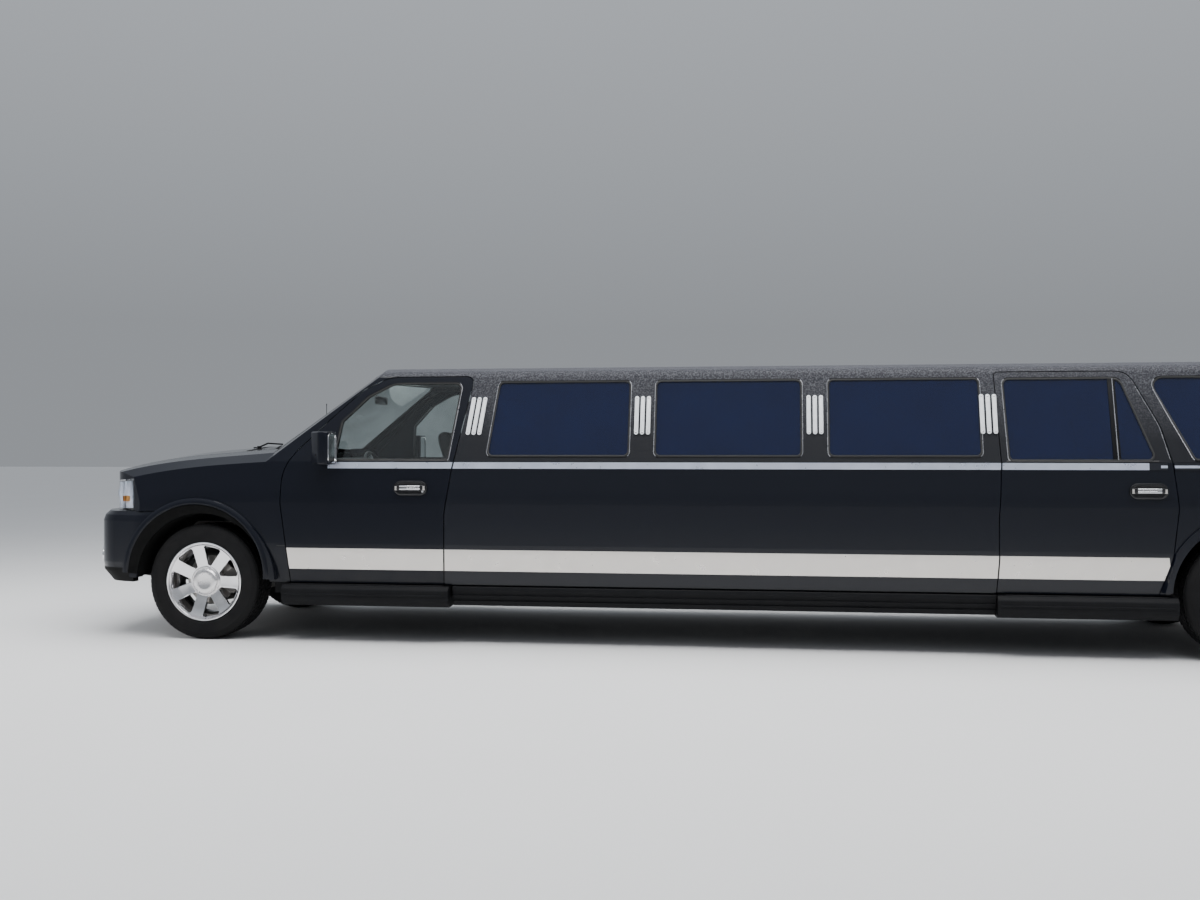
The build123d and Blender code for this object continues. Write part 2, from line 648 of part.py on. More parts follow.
# Headlamps and tail lamps
LAMP_THICK = 90.0
headlamp = (nose_body - Pos(-LAMP_THICK, 0, 0) * nose_body) & lamp_space
side_layer = nose_body & block(LAMP_REAR_X, far, 0, 1200, 0, 2000)
side_layer -= Pos(0, -60, 0) * nose_body
headlamp = (headlamp + (side_layer & lamp_space)) & block(LAMP_REAR_X + SEAT, far, 0, 1200, LAMP_LOW_Z, 2000)

# Bumpers: plan (x, y, radius) and side profile (x, z, radius)
BUMPER_WALL = 80.0
BUMPER_BAY_X = FRONT_AXLE_X + 430
FRONT_BUMPER_PLAN = [
    (BUMPER_END_X, 1003, 0),
    (NOSE_X - 500, 1001, 300),
    (NOSE_X - 170, 900, 240),
    (NOSE_X - 42, 640, 300),
    (NOSE_X, 300, 900),
]
# Levels of the front bumper: height and how far its front is drawn in
FRONT_BUMPER_LEVELS = [
    (392.0, 70.0),
    (470.0, 8.0),
    (530.0, 0.0),
    (822.0, 0.0),
    (864.0, 14.0),
    (BUMPER_FRONT_TOP_Z, 44.0),
]
REAR_BUMPER_PLAN = [
    (BUMPER_FRONT_X, 1003, 0),
    (TAIL_X + 240, 995, 300),
    (TAIL_X + 64, 876, 170),
    (TAIL_X, 540, 800),
]
REAR_BUMPER_SIDE = [
    (BUMPER_FRONT_X, 430, 0),
    (TAIL_X + 50, 430, 30),
    (TAIL_X, 540, 60),
    (TAIL_X, 720, 60),
    (TAIL_X + 20, BUMPER_TOP_Z, 20),
    (BUMPER_FRONT_X, BUMPER_TOP_Z, 0),
]


BUMPER_FLANGE = 30.0


def bumper_level(z, drawn_in):
    """Returns the front bumper's outline at a height, with its nose and sides drawn in."""
    rows = plan_rows(FRONT_BUMPER_PLAN, 0, drawn_in * 0.25)
    rows = [(x if x == BUMPER_END_X else x - drawn_in, y, r) for x, y, r in rows]
    return outline(rows, "z", z).outer_wire()


front_bumper = None
for (low_z, low_in), (high_z, high_in) in zip(FRONT_BUMPER_LEVELS, FRONT_BUMPER_LEVELS[1:]):
    layer = Solid.make_loft([bumper_level(low_z, low_in), bumper_level(high_z, high_in)], True)
    front_bumper = layer if front_bumper is None else front_bumper + layer
front_hollow = plan_rows(FRONT_BUMPER_PLAN, -BUMPER_WALL, BUMPER_WALL)
front_bumper -= prism(front_hollow, "z", 200, BUMPER_FRONT_TOP_Z - BUMPER_FLANGE)
front_bumper -= block(0, BUMPER_BAY_X, BUMPER_WALL - BODY_HALF, BODY_HALF - BUMPER_WALL, 0, 2000)
for side in (1, -1):
    start = (FRONT_AXLE_X, side * FRONT_HOUSE_Y, axle_z)
    front_bumper -= rod(start, (FRONT_AXLE_X, side * 1300, axle_z), ARCH_RADIUS + FLARE_WIDTH + GAP)
rear_bumper = prism(plan_rows(REAR_BUMPER_PLAN), "z", 300, 1000) & prism(REAR_BUMPER_SIDE, "y", -1200, 1200)
rear_bumper -= prism(plan_rows(REAR_BUMPER_PLAN, BUMPER_WALL, BUMPER_WALL), "z", 200, 1000)
PLATE_HOLES = 177.8
PLATE_HOLE_RADIUS = 3.3
PLATE_HOLE_DEPTH = 25.0
FRONT_PLATE_Z = 600.0
for side in (1, -1):
    y = side * PLATE_HOLES / 2
    hole_end = (NOSE_X - PLATE_HOLE_DEPTH, y, FRONT_PLATE_Z)
    front_bumper -= rod(hole_end, (NOSE_X + 20, y, FRONT_PLATE_Z), PLATE_HOLE_RADIUS)

# Liftgate and its glass, tail lamps
GATE_WINDOW = [(600, 1290, 60), (560, 1745, 70)]
gate = shell & block(-far, GATE_HINGE_X, -GATE_HALF, GATE_HALF, GATE_LOW_Z, 2200)
gate -= prism(both_sides(GATE_WINDOW), "x", TAIL_X - 50, GATE_HINGE_X - 60)
PLATE_POCKET_X = TAIL_X + 50
REAR_PLATE_Z = 960.0
gate -= block(TAIL_X - 50, PLATE_POCKET_X, -260, 260, REAR_PLATE_Z - 90, REAR_PLATE_Z + 90)
for side in (1, -1):
    y = side * PLATE_HOLES / 2
    hole_end = (PLATE_POCKET_X + PLATE_HOLE_DEPTH, y, REAR_PLATE_Z)
    gate -= rod((TAIL_X - 20, y, REAR_PLATE_Z), hole_end, PLATE_HOLE_RADIUS)
gate_layer = (Pos(GLASS_SINK, 0, 0) * cabin_prism) - Pos(GLASS_SINK + GLASS_THICK, 0, 0) * cabin_prism
gate_glass = gate_layer & prism(both_sides(GATE_WINDOW), "x", TAIL_X - 50, GATE_HINGE_X - 60, grow=-SEAT)
TAIL_LAMP = [(752, 930, 30), (985, 930, 0), (985, 1236, 0), (752, 1236, 30)]
tail_space = prism(TAIL_LAMP, "x", TAIL_X - 50, TAIL_X + 190)
tail_small = prism(TAIL_LAMP, "x", TAIL_X - 50, TAIL_X + 190 - SEAT, grow=-SEAT)
TAIL_LAMP_THICK = 60.0
tail_core = Pos(TAIL_LAMP_THICK, 0, 0) * cabin_prism
tail_lamp = tail_small & (cabin_prism - tail_core)
quarter -= tail_space - Pos(TAIL_LAMP_THICK + SEAT, 0, 0) * cabin_prism

# Floor, rockers with running boards
REAR_STEP_X = ahead_rear(1000)
FLOOR_REAR_X = TAIL_X + 130
front_floor = block(
    REAR_STEP_X + SEAT, FIREWALL_X - 30, -SILL_INNER, SILL_INNER, FLOOR_TOP_Z - FLOOR_THICK, FLOOR_TOP_Z
)
rear_floor_rows = [
    (REAR_STEP_X, FLOOR_TOP_Z - FLOOR_THICK, 0),
    (REAR_STEP_X, REAR_FLOOR_TOP_Z, 0),
    (FLOOR_REAR_X, REAR_FLOOR_TOP_Z, 0),
    (FLOOR_REAR_X, REAR_FLOOR_TOP_Z - FLOOR_THICK, 0),
    (REAR_STEP_X - FLOOR_THICK, REAR_FLOOR_TOP_Z - FLOOR_THICK, 0),
    (REAR_STEP_X - FLOOR_THICK, FLOOR_TOP_Z - FLOOR_THICK, 0),
]
rear_floor = prism(rear_floor_rows, "y", -SILL_INNER, SILL_INNER)
for side in (1, -1):
    y0, y1 = side * REAR_HOUSE_Y, side * 900
    rear_floor -= block(ahead_rear(-520), ahead_rear(520), y0, y1, 0, 2000)

FLOOR_CORNER_Y = 650.0
for side in (1, -1):
    rear_floor -= block(TAIL_X, FLOOR_REAR_X + 100, side * FLOOR_CORNER_Y, side * 1000, 500, 800)
TAIL_PANEL_TOP_Z = GATE_LOW_Z - 2 * GAP
tail_low_z = REAR_FLOOR_TOP_Z + SEAT
tail_panel_x = FLOOR_REAR_X + FLOOR_THICK
tail_panel = block(FLOOR_REAR_X, tail_panel_x, -FLOOR_CORNER_Y, FLOOR_CORNER_Y, tail_low_z, TAIL_PANEL_TOP_Z)

ROCKER_OUTER = BODY_HALF - SILL_WALL - GAP
rocker_core = [
    (SILL_INNER, SILL_LOW_Z, 0),
    (ROCKER_OUTER, SILL_LOW_Z, 0),
    (ROCKER_OUTER, STEP_Z - GAP, 0),
    (SILL_INNER, STEP_Z - GAP, 0),
]
rocker = prism(rocker_core, "x", ahead_rear(500), behind_front(500))
rocker += block(INSERT_END_X + 80, INSERT_START_X - 80, SILL_INNER, BODY_HALF - SILL_WALL, 450, STEP_Z)
rocker += block(behind_front(545), behind_front(500), SILL_INNER, BODY_HALF - SILL_WALL, 450, STEP_Z)
rocker += block(ahead_rear(500), ahead_rear(425 + 60), SILL_INNER, BODY_HALF - SILL_WALL, 450, STEP_Z - GAP)
ledges = [
    (SILL_INNER, 268, 0),
    (952, 268, 12),
    (968, 300, 0),
    (960, 306, 0),
    (980, 338, 0),
    (972, 344, 0),
    (988, 374, 0),
    (988, 400, 6),
    (SILL_INNER, 400, 0),
]
rocker += prism(ledges, "x", INSERT_END_X + 20, INSERT_START_X - 10)
BOARD = [(870, 262, 0), (1000, 256, 25), (1034, 300, 30), (1034, 372, 22), (1005, 400, 20), (870, 400, 0)]
BOARD_SPANS = [(behind_front(1768), behind_front(590)), (ahead_rear(445), ahead_rear(1532))]
for x0, x1 in BOARD_SPANS:
    rocker += prism(BOARD, "x", x0, x1)

# Chassis: side rails with a kick-up over the rear axle, cross members and body mounts
RAIL_REAR_RISE = 105.0
kick_front, kick_back = ahead_rear(960), ahead_rear(620)
rail_front_x = NOSE_X - BUMPER_WALL / 2
rail_back_x = TAIL_X + BUMPER_WALL / 2
high = RAIL_REAR_RISE
rail_rows = [
    (rail_front_x, RAIL_LOW_Z + 60, 0),
    (rail_front_x, RAIL_HIGH_Z + 40, 0),
    (FRONT_AXLE_X + 480, RAIL_HIGH_Z, 0),
    (kick_front, RAIL_HIGH_Z, 0),
    (kick_back, RAIL_HIGH_Z + high, 0),
    (rail_back_x, RAIL_HIGH_Z + high, 0),
    (rail_back_x, RAIL_HIGH_Z + high - 115, 0),
    (kick_back, RAIL_LOW_Z + high, 0),
    (kick_front, RAIL_LOW_Z, 0),
    (FRONT_AXLE_X + 480, RAIL_LOW_Z, 0),
]
rail_in = RAIL_OUTER_Y - RAIL_WIDTH
rails = prism(rail_rows, "y", rail_in, RAIL_OUTER_Y)
frame = rails + mirrored(rails)
CROSS_LOW = 365.0
CROSS_HIGH = 418.0
CROSS_PITCH = 800.0
cross_count = int((behind_front(900) - ahead_rear(1100)) // CROSS_PITCH)
for i in range(cross_count + 1):
    x = behind_front(900) - i * CROSS_PITCH
    frame += block(x - 35, x + 35, -rail_in, rail_in, CROSS_LOW, CROSS_HIGH)
frame += block(NOSE_X - 250, NOSE_X - 180, -rail_in, rail_in, 440, 500)
frame += block(rail_back_x, rail_back_x + 70, -rail_in, rail_in, 520, 600)
mount_stations = [behind_front(800), behind_front(1700), 300.0, -600.0, ahead_rear(1500)]
for x in mount_stations:
    for side in (1, -1):
        y = side * (RAIL_OUTER_Y - RAIL_WIDTH / 2)
        frame += block(x - 45, x + 45, y - 40, y + 40, RAIL_HIGH_Z - 5, FLOOR_TOP_Z - FLOOR_THICK)
rear_floor_low_z = REAR_FLOOR_TOP_Z - FLOOR_THICK
for x in (ahead_rear(300), ahead_rear(-900)):
    for side in (1, -1):
        y = side * (RAIL_OUTER_Y - RAIL_WIDTH / 2)
        frame += block(x - 45, x + 45, y - 40, y + 40, RAIL_HIGH_Z + high - 5, rear_floor_low_z)
frame = frame - front_bumper - Pos(-SEAT, 0, 0) * front_bumper
frame = frame - rear_bumper - Pos(SEAT, 0, 0) * rear_bumper
frame = max(frame.solids(), key=lambda s: s.volume)

# Tyre and wheel, built at the origin with +Y outwards
tyre_half = [
    (RIM_HALF - SEAT, BEAD_RADIUS + SEAT, 0),
    (RIM_HALF - SEAT, RIM_LIP_RADIUS + 3, 0),
    (TYRE_HALF, 346, 0),
    (TYRE_HALF - 18, TYRE_RADIUS, 0),
]
tyre_rows = tyre_half + [(-y, r, c) for y, r, c in reversed(tyre_half)]
tyre = Solid.revolve(outline(tyre_rows, "x", 0), 360, Axis.Y)

BARREL_RADIUS = 244.0
FLANGE_HALF = 124.0
barrel_rows = [
    (FLANGE_HALF, BARREL_RADIUS, 0),
    (FLANGE_HALF, RIM_LIP_RADIUS, 0),
    (RIM_HALF, RIM_LIP_RADIUS, 0),
    (RIM_HALF, BEAD_RADIUS, 0),
    (-RIM_HALF, BEAD_RADIUS, 0),
    (-RIM_HALF, RIM_LIP_RADIUS, 0),
    (-FLANGE_HALF, RIM_LIP_RADIUS, 0),
    (-FLANGE_HALF, BARREL_RADIUS, 0),
]
HUB_FACE = 44.0
DISH_FACE = 94.0
DISH_RADIUS = BARREL_RADIUS + 4
CAP_RADIUS = 100.0
CAP_RISE = 28.0
DISC_RADIUS = 172.0
DISC_BACK = -12.0
DISC_THICK = 22.0
HUB_RADIUS = 38.0
BORE_DEPTH = 80.0
dish_rows = [
    (HUB_FACE - 6, 0, 0),
    (HUB_FACE - 6, DISH_RADIUS, 0),
    (FLANGE_HALF - 6, DISH_RADIUS, 0),
    (DISH_FACE, DISH_RADIUS - 16, 0),
    (DISH_FACE, CAP_RADIUS, 0),
    (DISH_FACE + CAP_RISE - 8, CAP_RADIUS - 24, 0),
    (DISH_FACE + CAP_RISE, 0, 0),
]
wheel = Solid.revolve(outline(barrel_rows, "x", 0), 360, Axis.Y)
wheel += Solid.revolve(outline(dish_rows, "x", 0), 360, Axis.Y)
SPOKE_CUT = [(124, -16, 0), (206, -58, 0), (222, -46, 0), (222, 46, 0), (206, 58, 0), (124, 16, 0)]
spoke_cut = prism(SPOKE_CUT, "y", 20, 150)
for i in range(SPOKES):
    wheel -= spoke_cut.rotate(Axis.Y, 360.0 * i / SPOKES + 90)
disc_rows = [
    (DISC_BACK, 20, 0),
    (DISC_BACK, DISC_RADIUS, 0),
    (DISC_BACK + DISC_THICK, DISC_RADIUS, 0),
    (DISC_BACK + DISC_THICK, 100, 0),
    (HUB_FACE, 100, 0),
    (HUB_FACE, 20, 0),
]
wheel += Solid.revolve(outline(disc_rows, "x", 0), 360, Axis.Y)
wheel -= rod((0, DISC_BACK - 10, 0), (0, BORE_DEPTH, 0), HUB_BORE)

# Knuckles and rear hub carriers: a spindle, an upright and a brake caliper, at the left end of an axle
SPINDLE_END = TRACK_HALF + BORE_DEPTH - 4
UPRIGHT_Y0, UPRIGHT_Y1 = 778.0, 826.0
UPRIGHT_LOW, UPRIGHT_HIGH = 285.0, 535.0
PIN_RADIUS = 12.0
PIN_BORE = 12.05
upright_rows = [
    (-30, UPRIGHT_LOW, 0),
    (30, UPRIGHT_LOW, 0),
    (56, axle_z, 0),
    (30, UPRIGHT_HIGH, 0),
    (-30, UPRIGHT_HIGH, 0),
    (-56, axle_z, 0),
]
upright = prism(upright_rows, "y", UPRIGHT_Y0, UPRIGHT_Y1)
upright += rod((0, UPRIGHT_Y0, axle_z), (0, SPINDLE_END, axle_z), SPINDLE_RADIUS)
upright += rod((0, UPRIGHT_Y0, axle_z), (0, TRACK_HALF + DISC_BACK - 4, axle_z), HUB_RADIUS)
caliper_rows = [
    (-106, axle_z - 44, 0),
    (-172, axle_z - 92, 0),
    (-206, axle_z - 62, 0),
    (-206, axle_z + 62, 0),
    (-172, axle_z + 92, 0),
    (-106, axle_z + 44, 0),
]
disc_y = TRACK_HALF + DISC_BACK
caliper = prism(caliper_rows, "y", 806, 886)
caliper -= block(-DISC_RADIUS - 8, 0, disc_y - 6, disc_y + DISC_THICK + 6, axle_z - 100, axle_z + 100)
caliper += block(-130, -40, 800, UPRIGHT_Y1, axle_z - 32, axle_z + 32)
carrier = upright + caliper
knuckle = Pos(FRONT_AXLE_X, 0, 0) * carrier
for z0, z1 in ((247, UPRIGHT_LOW + 5), (UPRIGHT_HIGH - 5, 572)):
    knuckle += rod((FRONT_AXLE_X, KINGPIN_Y, z0), (FRONT_AXLE_X, KINGPIN_Y, z1), PIN_RADIUS)
steer_arm = [(40, 770, 0), (40, 815, 0), (150, 770, 0), (140, 738, 0)]
knuckle += prism([(FRONT_AXLE_X + a, b, r) for a, b, r in steer_arm], "z", 330, 352)

# Front suspension: arms with bores for the knuckle's pins, springs and the beam that carries them
ARM_LOW_Z0, ARM_LOW_Z1 = 247.0, 280.0
ARM_HIGH_Z0, ARM_HIGH_Z1 = 540.0, 570.0
BEAM_LOW_Z = 280.0
TOWER_Y = 480.0
SPRING_Y = 575.0
SPRING_TOP_Z = 740.0


def wishbone(axle_x, root_y, spread, z0, z1):
    """Returns a left arm with two legs that run from the frame to its boss at the kingpin."""
    arm = rod((axle_x, KINGPIN_Y, z0), (axle_x, KINGPIN_Y, z1), 27)
    for side in (1, -1):
        foot = side * spread
        rows = [
            (axle_x - 14 + side * 8, KINGPIN_Y - 6, 0),
            (axle_x + 14 + side * 8, KINGPIN_Y - 6, 0),
            (axle_x + foot + 16, root_y, 0),
            (axle_x + foot - 16, root_y, 0),
        ]
        arm += prism(rows, "z", z0, z1)
    return arm


low_arm = wishbone(FRONT_AXLE_X, 340, 150, ARM_LOW_Z0, ARM_LOW_Z1)
low_arm += block(FRONT_AXLE_X - 90, FRONT_AXLE_X + 90, 545, 605, ARM_LOW_Z0, ARM_LOW_Z1)
low_arm -= rod((FRONT_AXLE_X, KINGPIN_Y, 200), (FRONT_AXLE_X, KINGPIN_Y, 300), PIN_BORE)
high_arm = wishbone(FRONT_AXLE_X, TOWER_Y, 92, ARM_HIGH_Z0, ARM_HIGH_Z1)
high_arm -= rod((FRONT_AXLE_X, KINGPIN_Y, 500), (FRONT_AXLE_X, KINGPIN_Y, 600), PIN_BORE)
tower_x0, tower_x1 = FRONT_AXLE_X - 60, FRONT_AXLE_X + 60
high_arm += block(tower_x0 - 50, tower_x1 + 50, rail_in, TOWER_Y, RAIL_HIGH_Z, 600)
high_arm += block(tower_x0, tower_x1, rail_in, TOWER_Y, 590, SPRING_TOP_Z + 20)
high_arm += block(tower_x0, tower_x1, rail_in, SPRING_Y + 45, SPRING_TOP_Z, SPRING_TOP_Z + 25)
low_arm += rod((FRONT_AXLE_X, SPRING_Y, ARM_LOW_Z1 - 2), (FRONT_AXLE_X, SPRING_Y, SPRING_TOP_Z), 20)
low_arm += rod((FRONT_AXLE_X, SPRING_Y, 420), (FRONT_AXLE_X, SPRING_Y, SPRING_TOP_Z - 2), 42)
beam = block(FRONT_AXLE_X - 170, FRONT_AXLE_X + 170, -RAIL_OUTER_Y, RAIL_OUTER_Y, BEAM_LOW_Z, RAIL_LOW_Z)
beam -= block(FRONT_AXLE_X - 100, FRONT_AXLE_X + 100, -300, 300, 200, 500)
suspension_front = [beam + low_arm + mirrored(low_arm), high_arm, mirrored(high_arm)]

# Rear suspension: final drive, axle shafts, hub carriers and arms on a cradle
rear_carrier = Pos(REAR_AXLE_X, 0, 0) * carrier
rear_carrier += rod((REAR_AXLE_X, 100, axle_z), (REAR_AXLE_X, UPRIGHT_Y0 + 4, axle_z), 21)
for z0, z1, y0 in ((256, UPRIGHT_LOW + 6, 360), (UPRIGHT_HIGH - 28, UPRIGHT_HIGH - 4, RAIL_OUTER_Y + SEAT)):
    for side in (1, -1):
        rows = [
            (REAR_AXLE_X + side * 6, UPRIGHT_Y0 + 10, 0),
            (REAR_AXLE_X + side * 30, UPRIGHT_Y0 + 10, 0),
            (REAR_AXLE_X + side * 150, y0, 0),
            (REAR_AXLE_X + side * 118, y0, 0),
        ]
        rear_carrier += prism(rows, "z", z0, z1)
cradle = block(REAR_AXLE_X - 200, REAR_AXLE_X + 200, -380, 380, 256, 292)
cradle -= block(REAR_AXLE_X - 150, REAR_AXLE_X + 150, -300, -150, 200, 400)
cradle -= block(REAR_AXLE_X - 150, REAR_AXLE_X + 150, 150, 300, 200, 400)
leg_top_z = RAIL_LOW_Z + high + 30
for sx in (1, -1):
    for side in (1, -1):
        x0 = REAR_AXLE_X + sx * 100
        cradle += block(x0, x0 + sx * 60, side * (rail_in + 5), side * (RAIL_OUTER_Y - 5), 256, leg_top_z)
        cradle += block(x0, x0 + sx * 60, side * 330, side * (rail_in + 10), 256, 292)
final_drive = rod((REAR_AXLE_X, -130, axle_z), (REAR_AXLE_X, 130, axle_z), 112)
cradle = cradle - frame
FINAL_NOSE = 220.0
final_drive += rod((REAR_AXLE_X, 0, axle_z), (REAR_AXLE_X + FINAL_NOSE, 0, axle_z), 60)
final_drive += block(REAR_AXLE_X - 80, REAR_AXLE_X + 80, -90, 90, 270, 360)
suspension_rear = cradle + final_drive + rear_carrier + mirrored(rear_carrier)

# Bright trim: strips and stripes that stand on the lower sides
TRIM_RISE = 5.0
STRIPE_LOW_Z = 505.0
STRIPE_TOP_Z = 650.0
STRIP_LOW_Z = 1198.0
STRIP_TOP_Z = 1241.0
trim_layer = (Pos(0, TRIM_RISE, 0) * cabin_prism) - Pos(0, SEAT, 0) * cabin_prism
trim_layer = trim_layer & block(-far, behind_front(560), 400, 1200, SILL_Z + 10, BELT_Z - 2)
door_inset = -2.0
front_trim_cut = side_cut(FRONT_DOOR, FRONT_LEAN, door_inset)
rear_trim_cut = side_cut(REAR_DOOR, REAR_LEAN, door_inset)
stripe_rows = [
    (ahead_rear(478), STRIPE_LOW_Z, 0),
    (ahead_rear(498), STRIPE_TOP_Z, 0),
    (behind_front(560), STRIPE_TOP_Z, 0),
    (behind_front(560), STRIPE_LOW_Z, 0),
]
stripe = trim_layer & prism(stripe_rows, "y", 400, 1200)
strip = trim_layer & block(ahead_rear(-1130), behind_front(905), 400, 1200, STRIP_LOW_Z, STRIP_TOP_Z)
panel_space = block(INSERT_END_X - 60, INSERT_START_X + 60, 0, 1200, 0, 2200)
trim_gap = GAP + 2
panel_space -= side_cut(FRONT_DOOR, FRONT_LEAN, trim_gap)
panel_space -= side_cut(REAR_DOOR, REAR_LEAN, trim_gap)
quarter_space = block(-far, ahead_rear(760), 0, 1200, 0, 2200) - side_cut(REAR_DOOR, REAR_LEAN, trim_gap)
panel_trim = [(stripe & panel_space), (strip & panel_space), (strip & quarter_space)]
HANDLE_ROWS = [(115, 48, 47), (115, -48, 47), (-115, -48, 47), (-115, 48, 47)]
HANDLE_Z = 1065.0


def handle(centre_x):
    """Returns the oval bezel and grip of a left door's handle."""
    rows = [(centre_x + a, HANDLE_Z + b, r) for a, b, r in HANDLE_ROWS]
    inner = [(centre_x + a * 0.86, HANDLE_Z + b * 0.66, r * 0.66) for a, b, r in HANDLE_ROWS]
    plate = prism(rows, "y", 950, 1008)
    plate -= prism(inner, "y", 1003, 1020)
    grip = block(centre_x - 104, centre_x + 104, 1002, 1024, HANDLE_Z - 14, HANDLE_Z + 14)
    grip -= block(centre_x - 88, centre_x + 88, 1000, 1014, HANDLE_Z - 20, HANDLE_Z + 20)
    return (plate + grip) - Pos(0, SEAT, 0) * cabin_prism


FRONT_HANDLE_X = behind_front(1500)
REAR_HANDLE_X = ahead_rear(618)
front_trim = [stripe & front_trim_cut, strip & front_trim_cut, handle(FRONT_HANDLE_X)]
rear_strip = strip & rear_trim_cut & block(ahead_rear(500), far, 0, 1200, 0, 2200)
rear_trim = [stripe & rear_trim_cut, rear_strip, handle(REAR_HANDLE_X)]

# Opera bars: groups of upright bars on the pillars between the side windows
BARS = 3
BAR_PITCH = 40.0
BAR_HALF = 16.0
BAR_LOW_Z, BAR_TOP_Z = 1427.0, 1687.0
BAR_RISE = 12.0
BAR_TIP = 7.0
BAR_TAPER = 13.0
BAR_SHARE = 0.24
bar_layer = (Pos(0, BAR_RISE, 0) * cabin_prism) - Pos(0, SEAT, 0) * cabin_prism
pillar_tables = [
    (INSERT_START_X - 152, 60.0),
    (INSERT_START_X - INSERT_FRONT_MARGIN - WINDOW_LENGTH - INSERT_PILLAR / 2, 0.0),
    (INSERT_START_X - INSERT_FRONT_MARGIN - 2 * WINDOW_LENGTH - INSERT_PILLAR * 1.5, 0.0),
    (INSERT_END_X + INSERT_REAR_MARGIN / 2, 0.0),
]
opera_bars = []
for centre, back in pillar_tables:
    for i in range(BARS):
        x = centre + (i - 1) * BAR_PITCH
        low_x, top_x = x + back * BAR_SHARE, x - back * BAR_SHARE
        rows = [
            (low_x - BAR_TIP, BAR_LOW_Z, 0),
            (low_x + BAR_TIP, BAR_LOW_Z, 0),
            (low_x + BAR_HALF, BAR_LOW_Z + BAR_TAPER, 0),
            (top_x + BAR_HALF, BAR_TOP_Z - BAR_TAPER, 0),
            (top_x + BAR_TIP, BAR_TOP_Z, 0),
            (top_x - BAR_TIP, BAR_TOP_Z, 0),
            (top_x - BAR_HALF, BAR_TOP_Z - BAR_TAPER, 0),
            (low_x - BAR_HALF, BAR_LOW_Z + BAR_TAPER, 0),
        ]
        opera_bars.append(bar_layer & prism(rows, "y", 600, 1100))

# Mirrors, fused to the front doors
mirror_rows = [
    (behind_front(968), 1235, 35),
    (behind_front(968), 1440, 40),
    (behind_front(845), 1425, 50),
    (behind_front(838), 1262, 40),
]
mirror_head = prism(mirror_rows, "y", 1012, 1168)
mirror_plan = [
    (behind_front(980), 990, 0),
    (behind_front(980), 1175, 0),
    (behind_front(925), 1175, 50),
    (behind_front(820), 1075, 60),
    (behind_front(820), 990, 0),
]
mirror_head &= prism(mirror_plan, "z", 1200, 1500)
mirror_arm = block(behind_front(935), behind_front(850), 930, 1040, 1258, 1300)
front_door += mirror_head + mirror_arm


# Interior: two front seats, a partition with a bar cabinet, a side bench, a rear bench and the dashboard
SEAT_HALF = 260.0
SEAT_Y = 420.0
cushion_rows = [
    (behind_front(1120), 790, 0),
    (behind_front(1120), 900, 50),
    (behind_front(1640), 880, 0),
    (behind_front(1640), 770, 0),
]
back_rows = [
    (behind_front(1560), 860, 0),
    (behind_front(1660), 1240, 200),
    (behind_front(1730), 1500, 40),
    (behind_front(1830), 1490, 40),
    (behind_front(1760), 1200, 0),
    (behind_front(1690), 840, 0),
]
head_rows = [
    (behind_front(1735), 1520, 0),
    (behind_front(1750), 1690, 40),
    (behind_front(1830), 1690, 40),
    (behind_front(1830), 1520, 0),
]


def front_seat(centre_y):
    """Returns one front seat on its base."""
    low, high = centre_y - SEAT_HALF, centre_y + SEAT_HALF
    seat = prism(cushion_rows, "y", low, high) + prism(back_rows, "y", low + 10, high - 10)
    seat += prism(head_rows, "y", centre_y - 130, centre_y + 130)
    for side in (1, -1):
        post_y = centre_y + side * 60
        seat += block(behind_front(1792), behind_front(1776), post_y - 8, post_y + 8, 1480, 1540)
    seat += block(behind_front(1600), behind_front(1160), centre_y - 200, centre_y + 200, FLOOR_TOP_Z, 800)
    return seat


front_seats = [front_seat(SEAT_Y), front_seat(-SEAT_Y)]
PARTITION_X = behind_front(1985)
PARTITION_THICK = 35.0
partition = prism(grown(both_sides(INNER_HALF), -SEAT), "x", PARTITION_X, PARTITION_X + PARTITION_THICK)
partition = partition & block(-far, far, -1200, 1200, FLOOR_TOP_Z, 2200)
for side in (1, -1):
    partition -= block(-far, far, side * (SILL_INNER - SEAT), side * 1100, 0, STEP_Z + SEAT)
PARTITION_WINDOW = [(560, 1240, 40), (500, 1700, 40)]
partition -= prism(both_sides(PARTITION_WINDOW), "x", PARTITION_X - 10, PARTITION_X + 60)
cabinet_end = INSERT_START_X - 2150
side_y = BODY_HALF - WALL - SEAT
sill_y = SILL_INNER - SEAT
cabinet_rows = [
    (440, FLOOR_TOP_Z, 0),
    (440, 1020, 0),
    (420, 1020, 0),
    (420, 1060, 12),
    (side_y, 1060, 0),
    (side_y, 1000, 0),
    (sill_y, 1000, 0),
    (sill_y, FLOOR_TOP_Z, 0),
]
cabinet = prism(cabinet_rows, "x", cabinet_end, PARTITION_X)
niche = block(cabinet_end + 120, PARTITION_X - 140, 400, 640, 700, 960)
bar_and_partition = partition + (cabinet - niche)

BENCH_FRONT_X = PARTITION_X - 160
BENCH_BACK_X = INSERT_END_X + 130
bench_rows = [
    (-sill_y, FLOOR_TOP_Z, 0),
    (-sill_y, 800, 0),
    (-side_y, 800, 0),
    (-side_y, 1190, 40),
    (-790, 1190, 40),
    (-720, 960, 40),
    (-330, 950, 50),
    (-330, 830, 30),
    (-370, 800, 0),
    (-370, FLOOR_TOP_Z, 0),
]
side_bench = prism(bench_rows, "x", BENCH_BACK_X, BENCH_FRONT_X)
rear_rows = [
    (ahead_rear(430), REAR_FLOOR_TOP_Z, 0),
    (ahead_rear(430), 830, 0),
    (ahead_rear(490), 850, 30),
    (ahead_rear(490), 990, 50),
    (ahead_rear(20), 960, 40),
    (ahead_rear(-80), 1470, 50),
    (ahead_rear(-200), 1450, 50),
    (ahead_rear(-130), 830, 30),
    (ahead_rear(-110), REAR_FLOOR_TOP_Z, 0),
]
